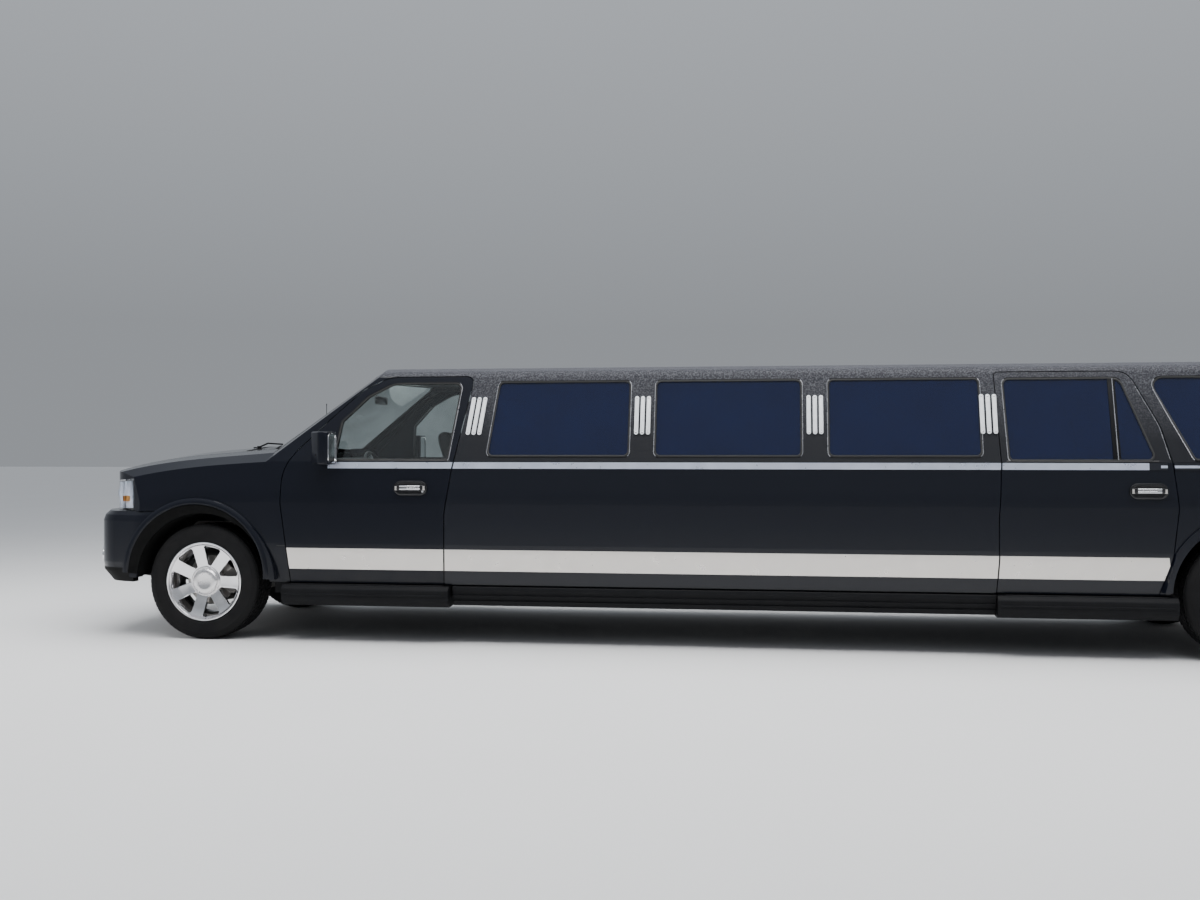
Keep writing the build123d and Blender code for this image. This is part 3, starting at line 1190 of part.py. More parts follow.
rear_bench = prism(rear_rows, "y", -(REAR_HOUSE_Y - 20), REAR_HOUSE_Y - 20)
lounge_seats = [side_bench, rear_bench]

DASH_REAR_X = behind_front(940)
dash_rows = [
    (FIREWALL_X - 30 - SEAT, 800, 0),
    (FIREWALL_X - 30 - SEAT, SHELF_LOW_Z - SEAT, 0),
    (SHELF_REAR_X - 20, SHELF_LOW_Z - SEAT, 0),
    (DASH_REAR_X + 60, 1240, 80),
    (DASH_REAR_X, 1150, 60),
    (DASH_REAR_X + 60, 900, 60),
    (DASH_REAR_X + 160, 800, 0),
]
dash = prism(dash_rows, "y", -(BODY_HALF - WALL - 15), BODY_HALF - WALL - 15)
wheel_centre = Vector(behind_front(1085), SEAT_Y, 1130)
column_way = Vector(math.cos(math.radians(24)), 0, -math.sin(math.radians(24)))
column_end = wheel_centre + column_way * 330
wheel_plane = Plane(origin=wheel_centre, z_dir=column_way)
rim_rows = [(171, 0, 0), (185, 14, 0), (199, 0, 0), (185, -14, 0)]
steering_wheel = wheel_plane * Solid.revolve(outline(rim_rows, "y", 0), 360, Axis.Z)
steering_wheel += rod(tuple(wheel_centre), tuple(column_end), 30)
steering_wheel += wheel_plane * Pos(0, 0, 12) * Box(360, 34, 16)
steering_wheel += wheel_plane * Pos(0, 0, 6) * Cylinder(62, 40)
dashboard = dash + steering_wheel

# Running gear below: engine with gearbox, shafts, tank and exhaust
ENGINE_FRONT_X = FRONT_AXLE_X + 420
ENGINE_BACK_X = behind_front(340)
engine_rows = [(280, 520, 30), (300, 700, 60), (330, 900, 40), (250, 1010, 60)]
engine = prism(both_sides(engine_rows), "x", ENGINE_BACK_X, ENGINE_FRONT_X)
mount_x0, mount_x1 = ENGINE_BACK_X + 250, ENGINE_BACK_X + 330
engine += block(mount_x0, mount_x1, -rail_in, rail_in, 530, 590)
for side in (1, -1):
    engine += block(mount_x0, mount_x1, side * 300, side * (rail_in - SEAT), RAIL_HIGH_Z, 560)
gearbox = block(behind_front(1250), ENGINE_BACK_X, -150, 150, 424, 533)
gearbox += block(ENGINE_BACK_X - 40, ENGINE_BACK_X, -240, 240, 424, 533)
gearbox += block(ENGINE_BACK_X - 20, ENGINE_BACK_X + 60, -200, 200, 424, 560)
shaft_z = 470.0
shaft = rod((behind_front(1250), 0, shaft_z), (ahead_rear(420), 0, shaft_z), 34)
shaft += rod((ahead_rear(425), 0, shaft_z), (ahead_rear(FINAL_NOSE + 24), 0, axle_z), 34)
shaft += rod((ahead_rear(FINAL_NOSE + 36), 0, axle_z), (ahead_rear(FINAL_NOSE + SEAT), 0, axle_z), 48)
powertrain = engine + gearbox + shaft
tank_rows = [(RAIL_OUTER_Y + SEAT, 345, 30), (RAIL_OUTER_Y + SEAT, 520, 30), (760, 520, 40), (760, 345, 40)]
tank = prism(tank_rows, "x", behind_front(4100), behind_front(2900))
exhaust_y = -600.0
silencer_inner = -(RAIL_OUTER_Y + SEAT)
silencer_rows = [(silencer_inner, 380, 0), (silencer_inner, 500, 40), (-740, 500, 40), (-740, 380, 40)]
exhaust = prism(silencer_rows, "x", behind_front(3700), behind_front(2900))
exhaust += rod((behind_front(3695), exhaust_y, 440), (ahead_rear(700), exhaust_y, 440), 30)

# Nodes on the left and right are made once and mirrored
export("chassis_frame", frame)
export("floor_pan", front_floor, rear_floor, tail_panel)
export("rocker_left", rocker)
export("rocker_right", mirrored(rocker))
export("front_fender_left", fender)
export("front_fender_right", mirrored(fender))
export("cowl", cowl)
export("side_panel_left", side_panel)
export("side_panel_right", mirrored(side_panel))
export("quarter_panel_left", quarter)
export("quarter_panel_right", mirrored(quarter))
export("roof", roof)
export("grille", grille)
export("front_bumper", front_bumper)
export("rear_bumper", rear_bumper)
export("headlamps", headlamp, mirrored(headlamp))
export("tail_lamps", tail_lamp, mirrored(tail_lamp))
export("windscreen", windscreen)
export("side_windows", *side_glass, *[mirrored(s) for s in side_glass])
export("side_trim", *panel_trim, *[mirrored(s) for s in panel_trim])
export("opera_bars", *opera_bars, *[mirrored(s) for s in opera_bars])
export("front_seats", *front_seats)
export("lounge_seats", *lounge_seats)
export("bar_and_partition", bar_and_partition)
export("dashboard", dashboard)
export("powertrain", powertrain)
export("tank_and_exhaust", tank, exhaust)
export("front_suspension", *suspension_front)
export("rear_suspension", suspension_rear)
for side, turn in (("left", lambda s: s), ("right", mirrored)):
    export(f"front_door_{side}", turn(front_door))
    export(f"front_door_glass_{side}", turn(front_glass))
    export(f"front_door_trim_{side}", *[turn(s) for s in front_trim])
    export(f"rear_door_{side}", turn(rear_door))
    export(f"rear_door_glass_{side}", turn(rear_glass))
    export(f"rear_door_trim_{side}", *[turn(s) for s in rear_trim])
    export(f"steering_knuckle_{side}", turn(knuckle))
    for end, axle_x in (("front", FRONT_AXLE_X), ("rear", REAR_AXLE_X)):
        at = Pos(axle_x, TRACK_HALF, axle_z)
        export(f"{end}_wheel_{side}", turn(at * wheel))
        export(f"{end}_tyre_{side}", turn(at * tyre))
export("bonnet", bonnet)
export("liftgate", gate)
export("liftgate_glass", gate_glass)
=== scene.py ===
"""The looks of a long black stretch limousine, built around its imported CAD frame.

Lengths are in metres. +X is forward, +Y is the vehicle's left and +Z is up, with the ground at z 0.
"""

from __future__ import annotations

import json
import logging
import math
from dataclasses import dataclass
from enum import Enum
from typing import Iterable, Sequence

import bpy
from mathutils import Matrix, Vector

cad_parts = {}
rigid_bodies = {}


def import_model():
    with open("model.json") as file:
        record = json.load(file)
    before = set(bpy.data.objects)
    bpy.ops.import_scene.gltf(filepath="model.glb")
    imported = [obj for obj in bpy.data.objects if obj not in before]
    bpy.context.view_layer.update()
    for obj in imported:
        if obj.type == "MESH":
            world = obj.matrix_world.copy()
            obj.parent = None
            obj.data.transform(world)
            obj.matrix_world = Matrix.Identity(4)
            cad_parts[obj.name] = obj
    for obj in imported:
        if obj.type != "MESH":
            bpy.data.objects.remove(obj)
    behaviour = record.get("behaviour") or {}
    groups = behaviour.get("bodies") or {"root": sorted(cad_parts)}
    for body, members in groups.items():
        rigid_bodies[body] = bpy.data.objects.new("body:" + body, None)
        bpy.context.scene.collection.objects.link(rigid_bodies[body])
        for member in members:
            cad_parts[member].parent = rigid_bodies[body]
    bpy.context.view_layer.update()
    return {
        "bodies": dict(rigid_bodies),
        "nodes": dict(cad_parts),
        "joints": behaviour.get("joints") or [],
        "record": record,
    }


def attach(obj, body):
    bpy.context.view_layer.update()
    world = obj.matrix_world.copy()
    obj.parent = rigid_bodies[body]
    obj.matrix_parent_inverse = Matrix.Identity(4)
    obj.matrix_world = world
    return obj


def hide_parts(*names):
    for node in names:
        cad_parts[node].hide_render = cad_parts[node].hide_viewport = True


LOG = logging.getLogger("limousine")

Colour = tuple[float, float, float]
Flat = tuple[float, float]
Point = tuple[float, float, float]
Piece = bpy.types.Object
Socket = bpy.types.NodeSocket

LEFT, RIGHT = 1, -1
SIDES = ((LEFT, "left"), (RIGHT, "right"))
# Corners of a rectangle about its middle, in order
CORNERS = ((1, 1), (1, -1), (-1, -1), (-1, 1))
# Turns that make a lathed piece face forwards or upwards
FACE_FRONT = (0, 0, -math.pi / 2)
FACE_UP = (math.pi / 2, 0, 0)
# Directions of rays, and where they start: past the nose, the tail, the windscreen, the side and the roof
REARWARD, FORWARD, DOWN = (-1, 0, 0), (1, 0, 0), (0, 0, -1)
PAST_NOSE, PAST_TAIL, PAST_SCREEN, PAST_SIDE, PAST_ROOF = 5.2, -5.2, 4.2, 1.3, 2.0
BODY_PAINT: Colour = (0.0024, 0.0034, 0.0072)
# The record's material slots, with the finishes that belong to each
SLOTS = {
    "body_black": ("gloss_black_paint",), "bar_gloss": ("lacquered_wood",), "bar_white": ("pearl_white",),
    "bright_steel": ("chrome", "bead_metal", "satin_metal", "mirror_glass", "lamp_silver"),
    "frame_black": ("chassis_coating",), "glass_clear": ("clear_glass",), "iron_dark": ("brake_disc",),
    "lamp_clear": ("lamp_lens", "amber_lens"), "lamp_red": ("red_lens",), "leather_black": ("black_leather",),
    "plastic_black": (
        "seal_rubber", "grained_plastic", "gloss_black_plastic", "dashboard_plastic", "arch_lining",
        "lamp_reflector",
    ),
    "tyre_rubber": ("tyre_rubber",), "wheel_chrome": ("wheel_chrome", "wheel_cap_metal"),
}
SLOT_OF = {finish: slot for slot, names in SLOTS.items() for finish in names}


class Recipe:
    """A node material under construction, which reads Object coordinates."""

    def __init__(self, name: str) -> None:
        """Starts a material with a Principled shader.

        Args:
            name: The material's name.
        """
        self.material = bpy.data.materials.new(name)
        self.material.use_nodes = True
        self.tree = self.material.node_tree
        self.shader = self.tree.nodes["Principled BSDF"]
        self.coords = self.tree.nodes.new("ShaderNodeTexCoord").outputs["Object"]

    def put(self, socket: Socket, value: object) -> None:
        """Links another socket to a socket, or sets its value."""
        if isinstance(value, Socket):
            self.tree.links.new(value, socket)
        else:
            socket.default_value = (*value, 1.0) if socket.type == "RGBA" else value

    def plain(self, **values: object) -> None:
        """Sets or links the shader's own sockets.

        Args:
            values: Socket names with underscores in place of spaces.
        """
        for name, value in values.items():
            self.put(self.shader.inputs[name.replace("_", " ")], value)

    def node(self, kind: str, output: str, **values: object) -> Socket:
        """Adds a node, sets or links its inputs and returns one of its outputs.

        Args:
            kind: The node's type, after "ShaderNode".
            output: The output's name.
            values: Input names with underscores in place of spaces.
        """
        node = self.tree.nodes.new(f"ShaderNode{kind}")
        for name, value in values.items():
            self.put(node.inputs[name.replace("_", " ")], value)
        return node.outputs[output]

    def stretched(self, scale: Point) -> Socket:
        """Returns the Object coordinates with each axis scaled."""
        return self.node("Mapping", "Vector", Vector=self.coords, Scale=scale)

    def noise(self, scale: float, detail: float = 3.0, stretch: Point = (1, 1, 1)) -> Socket:
        """Returns a noise value of some cells for each metre and some octaves."""
        return self.node("TexNoise", "Fac", Vector=self.stretched(stretch), Scale=scale, Detail=detail)

    def cells(self, scale: float, stretch: Point = (1, 1, 1)) -> Socket:
        """Returns the distance in a cell pattern, for grain."""
        return self.node("TexVoronoi", "Distance", Vector=self.stretched(stretch), Scale=scale)

    def axis(self, name: str) -> Socket:
        """Returns one of the Object coordinates, X, Y or Z."""
        return self.node("SeparateXYZ", name, Vector=self.coords)

    def step(self, source: Socket, edge: float, rising: bool = True) -> Socket:
        """Returns 1 above an edge and 0 below it, or the reverse."""
        return self.blend(source, edge, edge + 0.0005, *((0.0, 1.0) if rising else (1.0, 0.0)))

    def combine(self, operation: str, first: Socket, second: Socket) -> Socket:
        """Returns two values combined by a Math operation, such as MULTIPLY."""
        node = self.tree.nodes.new("ShaderNodeMath")
        node.operation = operation
        self.put(node.inputs[0], first)
        self.put(node.inputs[1], second)
        return node.outputs["Value"]

    def blend(self, source: Socket, low: float, high: float, first: float, second: float) -> Socket:
        """Returns source mapped from low..high to first..second, held at its ends."""
        ends = {"From_Min": low, "From_Max": high, "To_Min": first, "To_Max": second}
        return self.node("MapRange", "Result", Value=source, **ends)

    def tint(self, amount: Socket, first: Colour | Socket, second: Colour | Socket) -> Socket:
        """Returns the colour between two, by amount."""
        node = self.tree.nodes.new("ShaderNodeMix")
        node.data_type = "RGBA"
        for name, value in (("A", first), ("B", second), ("Factor", amount)):
            self.put(node.inputs[name], value)
        return node.outputs["Result"]

    def relief(self, source: Socket, strength: float, depth: float) -> None:
        """Adds a bump of source on top of what the shader's normal has already.

        Args:
            source: Height value from 0 to 1.
            strength: Share of the effect.
            depth: Height in metres between 0 and 1.
        """
        normal = self.shader.inputs["Normal"]
        before = {"Normal": normal.links[0].from_socket} if normal.is_linked else {}
        bump = self.node("Bump", "Normal", Strength=strength, Distance=depth, Height=source, **before)
        self.plain(Normal=bump)


class Metal(Enum):
    """How a bright metal was finished."""

    POLISHED = 0.05
    LUSTRE = 0.11
    SATIN = 0.2
    BRUSHED = 0.3


@dataclass(frozen=True)
class PaintFinish:
    """Gloss paint under clear coat, dusty near the sills, with a matt black apron if asked for."""

    name: str = "gloss_black_paint"
    colour: Colour = BODY_PAINT
    dust: Colour = (0.030, 0.027, 0.024)
    apron: float = -1.0
    matt: Colour = (0.006, 0.006, 0.006)

    def make(self) -> bpy.types.Material:
        """Returns the material, which is matt below the apron's height."""
        mix = Recipe(self.name)
        mix.plain(Roughness=0.4, Coat_Weight=1.0, Coat_Roughness=0.02, Coat_IOR=1.27, Specular_IOR_Level=0.1)
        low = mix.blend(mix.axis("Z"), 0.35, 0.75, 0.22, 0.0)
        patch = mix.blend(mix.noise(9.0, 5.0), 0.35, 0.75, 0.1, 1.0)
        colour = mix.tint(mix.combine("MULTIPLY", low, patch), self.colour, self.dust)
        if self.apron > 0:
            above = mix.step(mix.axis("Z"), self.apron)
            colour = mix.tint(above, self.matt, colour)
            mix.plain(Coat_Weight=above)
            mix.plain(Roughness=mix.blend(above, 0.0, 1.0, 0.6, 0.4))
        mix.plain(Base_Color=colour)
        mix.relief(mix.noise(420.0, 2.0), 0.05, 0.0002)
        return mix.material


@dataclass(frozen=True)
class VinylFinish:
    """Grained roof vinyl above the belt over gloss paint below it. The vinyl carries painted sunlight: it
    lightens towards the top and is sprinkled with painted glints.
    """

    name: str
    belt: float = -1.0
    # Vinyl colours at the belt and at the top; the top's lighter colour is painted sunlight
    low: Colour = (0.0045, 0.0052, 0.0078)
    high: Colour = (0.017, 0.018, 0.024)
    # Colour of painted glints of sunlight on the grain
    glint_colour: Colour = (0.085, 0.086, 0.097)
    paint: Colour = BODY_PAINT

    def make(self) -> bpy.types.Material:
        """Returns the material: vinyl above the belt height, and paint below it."""
        mix = Recipe(self.name)
        z = mix.axis("Z")
        grain = mix.cells(330.0)
        # Painted sunlight: the vinyl lightens from the belt up to the top
        rise = mix.blend(z, 1.38, 1.86, 0.0, 1.0)
        # Painted glints: random light specks stand in for sunlight glinting off the grain
        glint_mask = mix.blend(mix.noise(95.0, 5.0), 0.42, 0.66, 0.0, 1.0)
        vinyl = mix.tint(rise, self.low, mix.tint(glint_mask, self.high, self.glint_colour))
        mix.plain(Specular_IOR_Level=0.22)
        if self.belt < 0:
            mix.plain(Base_Color=vinyl)
            mix.plain(Roughness=0.5)
            mix.relief(grain, 0.7, 0.0012)
            return mix.material
        above = mix.step(z, self.belt)
        mix.plain(Base_Color=mix.tint(above, self.paint, vinyl))
        mix.plain(Roughness=mix.blend(above, 0.0, 1.0, 0.3, 0.5))
        mix.plain(Coat_Weight=mix.step(z, self.belt, rising=False))
        mix.plain(Coat_Roughness=0.02, Coat_IOR=1.27)
        mix.relief(mix.combine("MULTIPLY", grain, above), 0.7, 0.0012)
        return mix.material


@dataclass(frozen=True)
class StripFinish:
    """The belt strip, which ends on the rear door and is thin behind it, over the brushed stripe. The belt
    strip's blue-white colour is a painted reflection of the sky, and the stripe's warm tint is partly a
    painted reflection of the pavement.
    """

    name: str = "side_strips"
    # Brushed stainless; its warm beige tint is partly a painted reflection of the pavement
    steel: Colour = (0.70, 0.665, 0.625)
    # Painted reflection: the belt strip's blue-white colour stands in for the sky it reflects
    belt: Colour = (0.78, 0.83, 0.96)
    paint: Colour = BODY_PAINT
    split: float = 1.10
    end: float = -2.630
    thin_from: float = -2.700
    thin: Flat = (1.210, 1.226)

    def make(self) -> bpy.types.Material:
        """Returns the material."""
        mix = Recipe(self.name)
        x, z = mix.axis("X"), mix.axis("Z")
        band = mix.combine("MULTIPLY", mix.step(z, self.thin[0]), mix.step(z, self.thin[1], rising=False))
        behind = mix.combine("MULTIPLY", mix.step(x, self.thin_from, rising=False), band)
        belt = mix.combine("MAXIMUM", mix.step(x, self.end), behind)
        shown = mix.combine("MAXIMUM", belt, mix.step(z, self.split, rising=False))
        # Metal colours with painted reflections: the stripe's below the split, the belt strip's above it
        metal_with_painted_reflections = mix.tint(mix.step(z, self.split), self.steel, self.belt)
        mix.plain(Base_Color=mix.tint(shown, self.paint, metal_with_painted_reflections))
        mix.plain(Metallic=mix.blend(shown, 0.0, 1.0, 0.0, 0.86))
        mix.plain(Roughness=mix.blend(mix.noise(14.0, 5.0), 0.3, 0.75, 0.26, 0.42))
        mix.plain(Coat_Weight=mix.blend(shown, 0.0, 1.0, 1.0, 0.0))
        mix.plain(Coat_Roughness=0.02, Coat_IOR=1.27)
        mix.relief(mix.noise(900.0, 2.0, (0.02, 1.0, 1.0)), 0.35, 0.0004)
        return mix.material


@dataclass(frozen=True)
class BrightFinish:
    """Chrome or stainless steel."""

    name: str
    kind: Metal
    colour: Colour = (0.86, 0.86, 0.87)
    grain_axis: Point = (1, 1, 1)

    def make(self) -> bpy.types.Material:
        """Returns the material."""
        mix = Recipe(self.name)
        mix.plain(Base_Color=self.colour, Metallic=1.0)
        base = self.kind.value
        smudge = mix.noise(14.0, 5.0)
        mix.plain(Roughness=mix.blend(smudge, 0.3, 0.75, base, base * 1.7 + 0.02))
        if self.kind is Metal.BRUSHED:
            mix.relief(mix.noise(900.0, 2.0, self.grain_axis), 0.35, 0.0004)
        return mix.material


@dataclass(frozen=True)
class PlainFinish:
    """Plastic, rubber, cast metal or carpet: one colour with a grain."""

    name: str
    colour: Colour
    roughness: float
    grain: float = 500.0
    depth: float = 0.0003
    variation: float = 0.35
    dust: Colour = (0.05, 0.046, 0.04)
    dusty: float = 0.0
    sheen: float = 0.0
    shine: float = 0.5

    def make(self) -> bpy.types.Material:
        """Returns the material."""
        mix = Recipe(self.name)
        light = tuple(min(1.0, c * (1 + self.variation) + 0.0015) for c in self.colour)
        cloud = mix.blend(mix.noise(18.0, 5.0), 0.3, 0.75, 0.0, 1.0)
        base = mix.tint(cloud, self.colour, light)
        if self.dusty:
            base = mix.tint(mix.blend(mix.noise(7.0, 6.0), 0.35, 0.8, 0.0, self.dusty), base, self.dust)
        mix.plain(Specular_IOR_Level=self.shine)
        mix.plain(Base_Color=base)
        mix.plain(Roughness=mix.blend(cloud, 0.0, 1.0, self.roughness, min(1.0, self.roughness + 0.12)))
        if self.sheen:
            mix.plain(Sheen_Weight=self.sheen, Sheen_Roughness=0.4)
        mix.relief(mix.cells(self.grain), 0.4, self.depth)
        return mix.material


@dataclass(frozen=True)
class GlassFinish:
    """Window or lamp glass with a tint."""

    name: str
    tint: Colour
    ior: float = 1.45
    rough: float = 0.0
    clear: float = 1.0

    def make(self) -> bpy.types.Material:
        """Returns the material."""
        mix = Recipe(self.name)
        mix.plain(Transmission_Weight=self.clear, IOR=self.ior)
        film = mix.noise(5.0, 4.0)
        darker = tuple(c * 0.86 for c in self.tint)
        mix.plain(Base_Color=mix.tint(mix.blend(film, 0.35, 0.7, 0.0, 1.0), self.tint, darker))
        mix.plain(Roughness=mix.blend(film, 0.35, 0.7, self.rough, self.rough + 0.015))
        return mix.material


@dataclass(frozen=True)
class LeatherFinish:
    """Soft black leather with a pebble grain and worn highlights."""

    name: str = "black_leather"
    colour: Colour = (0.018, 0.018, 0.019)
    worn: Colour = (0.045, 0.043, 0.042)

    def make(self) -> bpy.types.Material:
        """Returns the material."""
        mix = Recipe(self.name)
        cloud = mix.blend(mix.noise(9.0, 6.0), 0.35, 0.75, 0.0, 1.0)
        mix.plain(Base_Color=mix.tint(cloud, self.colour, self.worn))
        mix.plain(Roughness=mix.blend(cloud, 0.0, 1.0, 0.36, 0.5))
        mix.plain(Sheen_Weight=0.12, Sheen_Roughness=0.5)
        mix.relief(mix.cells(420.0), 0.4, 0.0006)
        mix.relief(mix.noise(30.0, 4.0), 0.25, 0.002)
        return mix.material


@dataclass(frozen=True)
class WoodFinish:
    """Dark lacquered wood, with its grain along the vehicle."""

    name: str = "lacquered_wood"
    colour: Colour = (0.045, 0.018, 0.008)
    vein: Colour = (0.012, 0.005, 0.003)

    def make(self) -> bpy.types.Material:
        """Returns the material."""
        mix = Recipe(self.name)
        grain = mix.noise(60.0, 8.0, (0.12, 1.0, 1.0))
        mix.plain(Base_Color=mix.tint(mix.blend(grain, 0.35, 0.65, 0.0, 1.0), self.colour, self.vein))
        mix.plain(Roughness=0.35, Coat_Weight=1.0, Coat_Roughness=0.04)
        return mix.material


class Finishes:
    """All finishes of the vehicle, each made once."""

    def __init__(self) -> None:
        """Makes every material."""
        self.paint = PaintFinish().make()
        self.bumper = PaintFinish("bumper_paint", apron=0.492).make()
        self.two_tone = VinylFinish("vinyl_over_paint", belt=1.243).make()
        self.vinyl = VinylFinish("roof_vinyl").make()
        self.chrome = BrightFinish("chrome", Metal.POLISHED).make()
        self.bead = BrightFinish("bead_metal", Metal.SATIN, (0.5, 0.5, 0.52)).make()
        self.wheel_chrome = BrightFinish("wheel_chrome", Metal.LUSTRE, (0.88, 0.87, 0.88)).make()
        self.wheel_cap = BrightFinish("wheel_cap_metal", Metal.SATIN, (0.82, 0.80, 0.80)).make()
        self.strips = StripFinish().make()
        self.aluminium = BrightFinish("satin_metal", Metal.SATIN, (0.6, 0.6, 0.61)).make()
        self.mirror = BrightFinish("mirror_glass", Metal.POLISHED, (0.7, 0.72, 0.73)).make()
        self.rubber = PlainFinish("seal_rubber", (0.012, 0.012, 0.012), 0.55, 900.0, 0.0001).make()
        self.tyre = PlainFinish(
            "tyre_rubber", (0.0055, 0.0055, 0.006), 0.7, 700.0, 0.0004, dusty=0.09, shine=0.14,
        ).make()
        self.trim = PlainFinish(
            "grained_plastic", (0.0035, 0.0037, 0.0046), 0.5, 620.0, 0.0004, dusty=0.03, shine=0.14,
        ).make()
        self.liner = PlainFinish("arch_lining", (0.004, 0.004, 0.004), 0.9, 160.0, 0.001, shine=0.08).make()
        self.gloss_black = PlainFinish(
            "gloss_black_plastic", (0.008, 0.008, 0.009), 0.12, 200.0, 0.00004,
        ).make()
        self.dash = PlainFinish("dashboard_plastic", (0.03, 0.03, 0.032), 0.55, 480.0, 0.0005).make()
        self.carpet = PlainFinish("carpet", (0.03, 0.03, 0.033), 0.95, 260.0, 0.003, sheen=0.4).make()
        self.frame = PlainFinish("chassis_coating", (0.02, 0.02, 0.02), 0.6, 300.0, 0.0006, dusty=0.5).make()
        self.iron = PlainFinish("cast_iron", (0.09, 0.085, 0.08), 0.62, 240.0, 0.0012, dusty=0.5).make()
        self.disc = BrightFinish("brake_disc", Metal.BRUSHED, (0.42, 0.4, 0.38), (1.0, 0.02, 1.0)).make()
        self.leather = LeatherFinish().make()
        self.wood = WoodFinish().make()
        self.dark_glass = GlassFinish("tinted_glass", (0.0035, 0.0105, 0.050), clear=0.5).make()
        self.clear_glass = GlassFinish("clear_glass", (0.74, 0.8, 0.79)).make()
        self.lens = GlassFinish("lamp_lens", (0.93, 0.94, 0.95), 1.3).make()
        self.amber = GlassFinish("amber_lens", (0.95, 0.36, 0.05), 1.3, 0.08).make()
        self.red_lens = GlassFinish("red_lens", (0.55, 0.012, 0.01), 1.35, 0.04).make()
        self.lamp_white = PlainFinish(
            "lamp_reflector", (0.55, 0.52, 0.52), 0.25, 60.0, 0.002, variation=0.1,
        ).make()
        self.lamp_silver = PlainFinish(
            "lamp_silver", (0.66, 0.72, 0.84), 0.3, 70.0, 0.002, variation=0.12,
        ).make()
        self.white = PlainFinish(
            "pearl_white", (0.72, 0.74, 0.76), 0.22, 200.0, 0.00003, variation=0.03,
        ).make()


class Bench:
    """Modelling with Blender's own tools, one piece at a time."""

    @staticmethod
    def clear() -> None:
        """Leaves edit mode and deselects everything."""
        if bpy.context.object and bpy.context.object.mode != "OBJECT":
            bpy.ops.object.mode_set(mode="OBJECT")
        bpy.ops.object.select_all(action="DESELECT")

    @staticmethod
    def only(piece: Piece) -> None:
        """Selects one piece and makes it the active one."""
        Bench.clear()
        piece.select_set(True)
        bpy.context.view_layer.objects.active = piece

    @staticmethod
    def edit(piece: Piece) -> None:
        """Opens a piece in edit mode with all of it selected."""
        Bench.only(piece)
        bpy.ops.object.mode_set(mode="EDIT")
        bpy.ops.mesh.select_all(action="SELECT")

    @staticmethod
    def done(piece: Piece, name: str, outwards: bool = True) -> Piece:
        """Closes edit mode, applies the piece's place and names it.

        Args:
            piece: The piece that was being shaped.
            name: Its name.
            outwards: Whether its normals are worked out again.

        Returns:
            The piece.
        """
        if outwards:
            Bench.edit(piece)
            bpy.ops.mesh.normals_make_consistent(inside=False)
        Bench.only(piece)
        bpy.ops.object.transform_apply(location=True, rotation=True, scale=True)
        piece.name = name
        piece.data.name = name
        return piece

    @staticmethod
    def chain(points: Sequence[Point], closed: bool = False) -> Piece:
        """Draws a line of edges by extruding one vertex from point to point.

        Args:
            points: The corners in order.
            closed: Whether the last corner joins the first.

        Returns:
            A piece of edges, left in edit mode.
        """
        Bench.clear()
        bpy.ops.mesh.primitive_plane_add(size=0.01, location=points[0])
        piece = bpy.context.object
        Bench.edit(piece)
        bpy.ops.mesh.merge(type="CENTER")
        here = Vector(points[0])
        for point in list(points[1:]) + ([points[0]] if closed else []):
            step = Vector(point) - here
            bpy.ops.mesh.extrude_vertices_move(TRANSFORM_OT_translate={"value": tuple(step)})
            here = Vector(point)
        if closed:
            bpy.ops.mesh.select_all(action="SELECT")
            bpy.ops.mesh.remove_doubles(threshold=1e-6)
        bpy.ops.mesh.select_all(action="SELECT")
        return piece

    @staticmethod
    def solid(name: str, outline: Sequence[Point], way: Point) -> Piece:
        """Fills a closed outline and extrudes it.

        Args:
            name: The piece's name.
            outline: Its corners.
            way: The extrusion.
        """
        piece = Bench.chain(outline, closed=True)
        bpy.ops.mesh.edge_face_add()
        bpy.ops.mesh.extrude_region_move(TRANSFORM_OT_translate={"value": way})
        return Bench.done(piece, name)

    @staticmethod
    def lathe(
        name: str, profile: Sequence[Flat], steps: int, centre: Point = (0, 0, 0),
        closed: bool = False,
    ) -> Piece:
        """Spins a profile about the line along Y through a centre.

        Args:
            name: The piece's name.
            profile: (distance along +Y, radius) of each corner.
            steps: Faces around.
            centre: Point on the axis.
            closed: Whether the profile's ends are joined.
        """
        points = [(centre[0] + r, centre[1] + a, centre[2]) for a, r in profile]
        piece = Bench.chain(points, closed)
        bpy.ops.mesh.spin(steps=steps, angle=math.tau, center=centre, axis=(0, 1, 0))
        bpy.ops.mesh.select_all(action="SELECT")
        bpy.ops.mesh.remove_doubles(threshold=1e-5)
        return Bench.done(piece, name)

    @staticmethod
    def tube(
        name: str, points: Sequence[Point], radius: float, closed: bool = False, smooth: int = 1,
    ) -> Piece:
        """Sweeps a round section along a line of points.

        Args:
            name: The piece's name.
            points: The line.
            radius: The section's radius.
            closed: Whether the line is a loop.
            smooth: Roundness of the section.
        """
        piece = Bench.chain(points, closed)
        Bench.only(piece)
        bpy.ops.object.convert(target="CURVE")
        piece = bpy.context.object
        piece.data.bevel_depth = radius
        piece.data.bevel_resolution = smooth
        piece.data.use_fill_caps = not closed
        bpy.ops.object.convert(target="MESH")
        return Bench.done(bpy.context.object, name)

    @staticmethod
    def slab(name: str, outline: Sequence[Flat], near: float, thick: float) -> Piece:
        """Extrudes an (x, z) outline along Y, from near by a thickness."""
        return Bench.solid(name, [(x, near, z) for x, z in outline], (0, thick, 0))

    @staticmethod
    def band(name: str, hits: Sequence[Point], shifts: Flat, low: float, high: float) -> Piece:
        """Makes a level band along a row of points, between two shifts of their x."""
        front = [(x + shifts[0], y, low) for x, y, _ in hits]
        back = [(x + shifts[1], y, low) for x, y, _ in reversed(hits)]
        return Bench.solid(name, front + back, (0, 0, high - low))

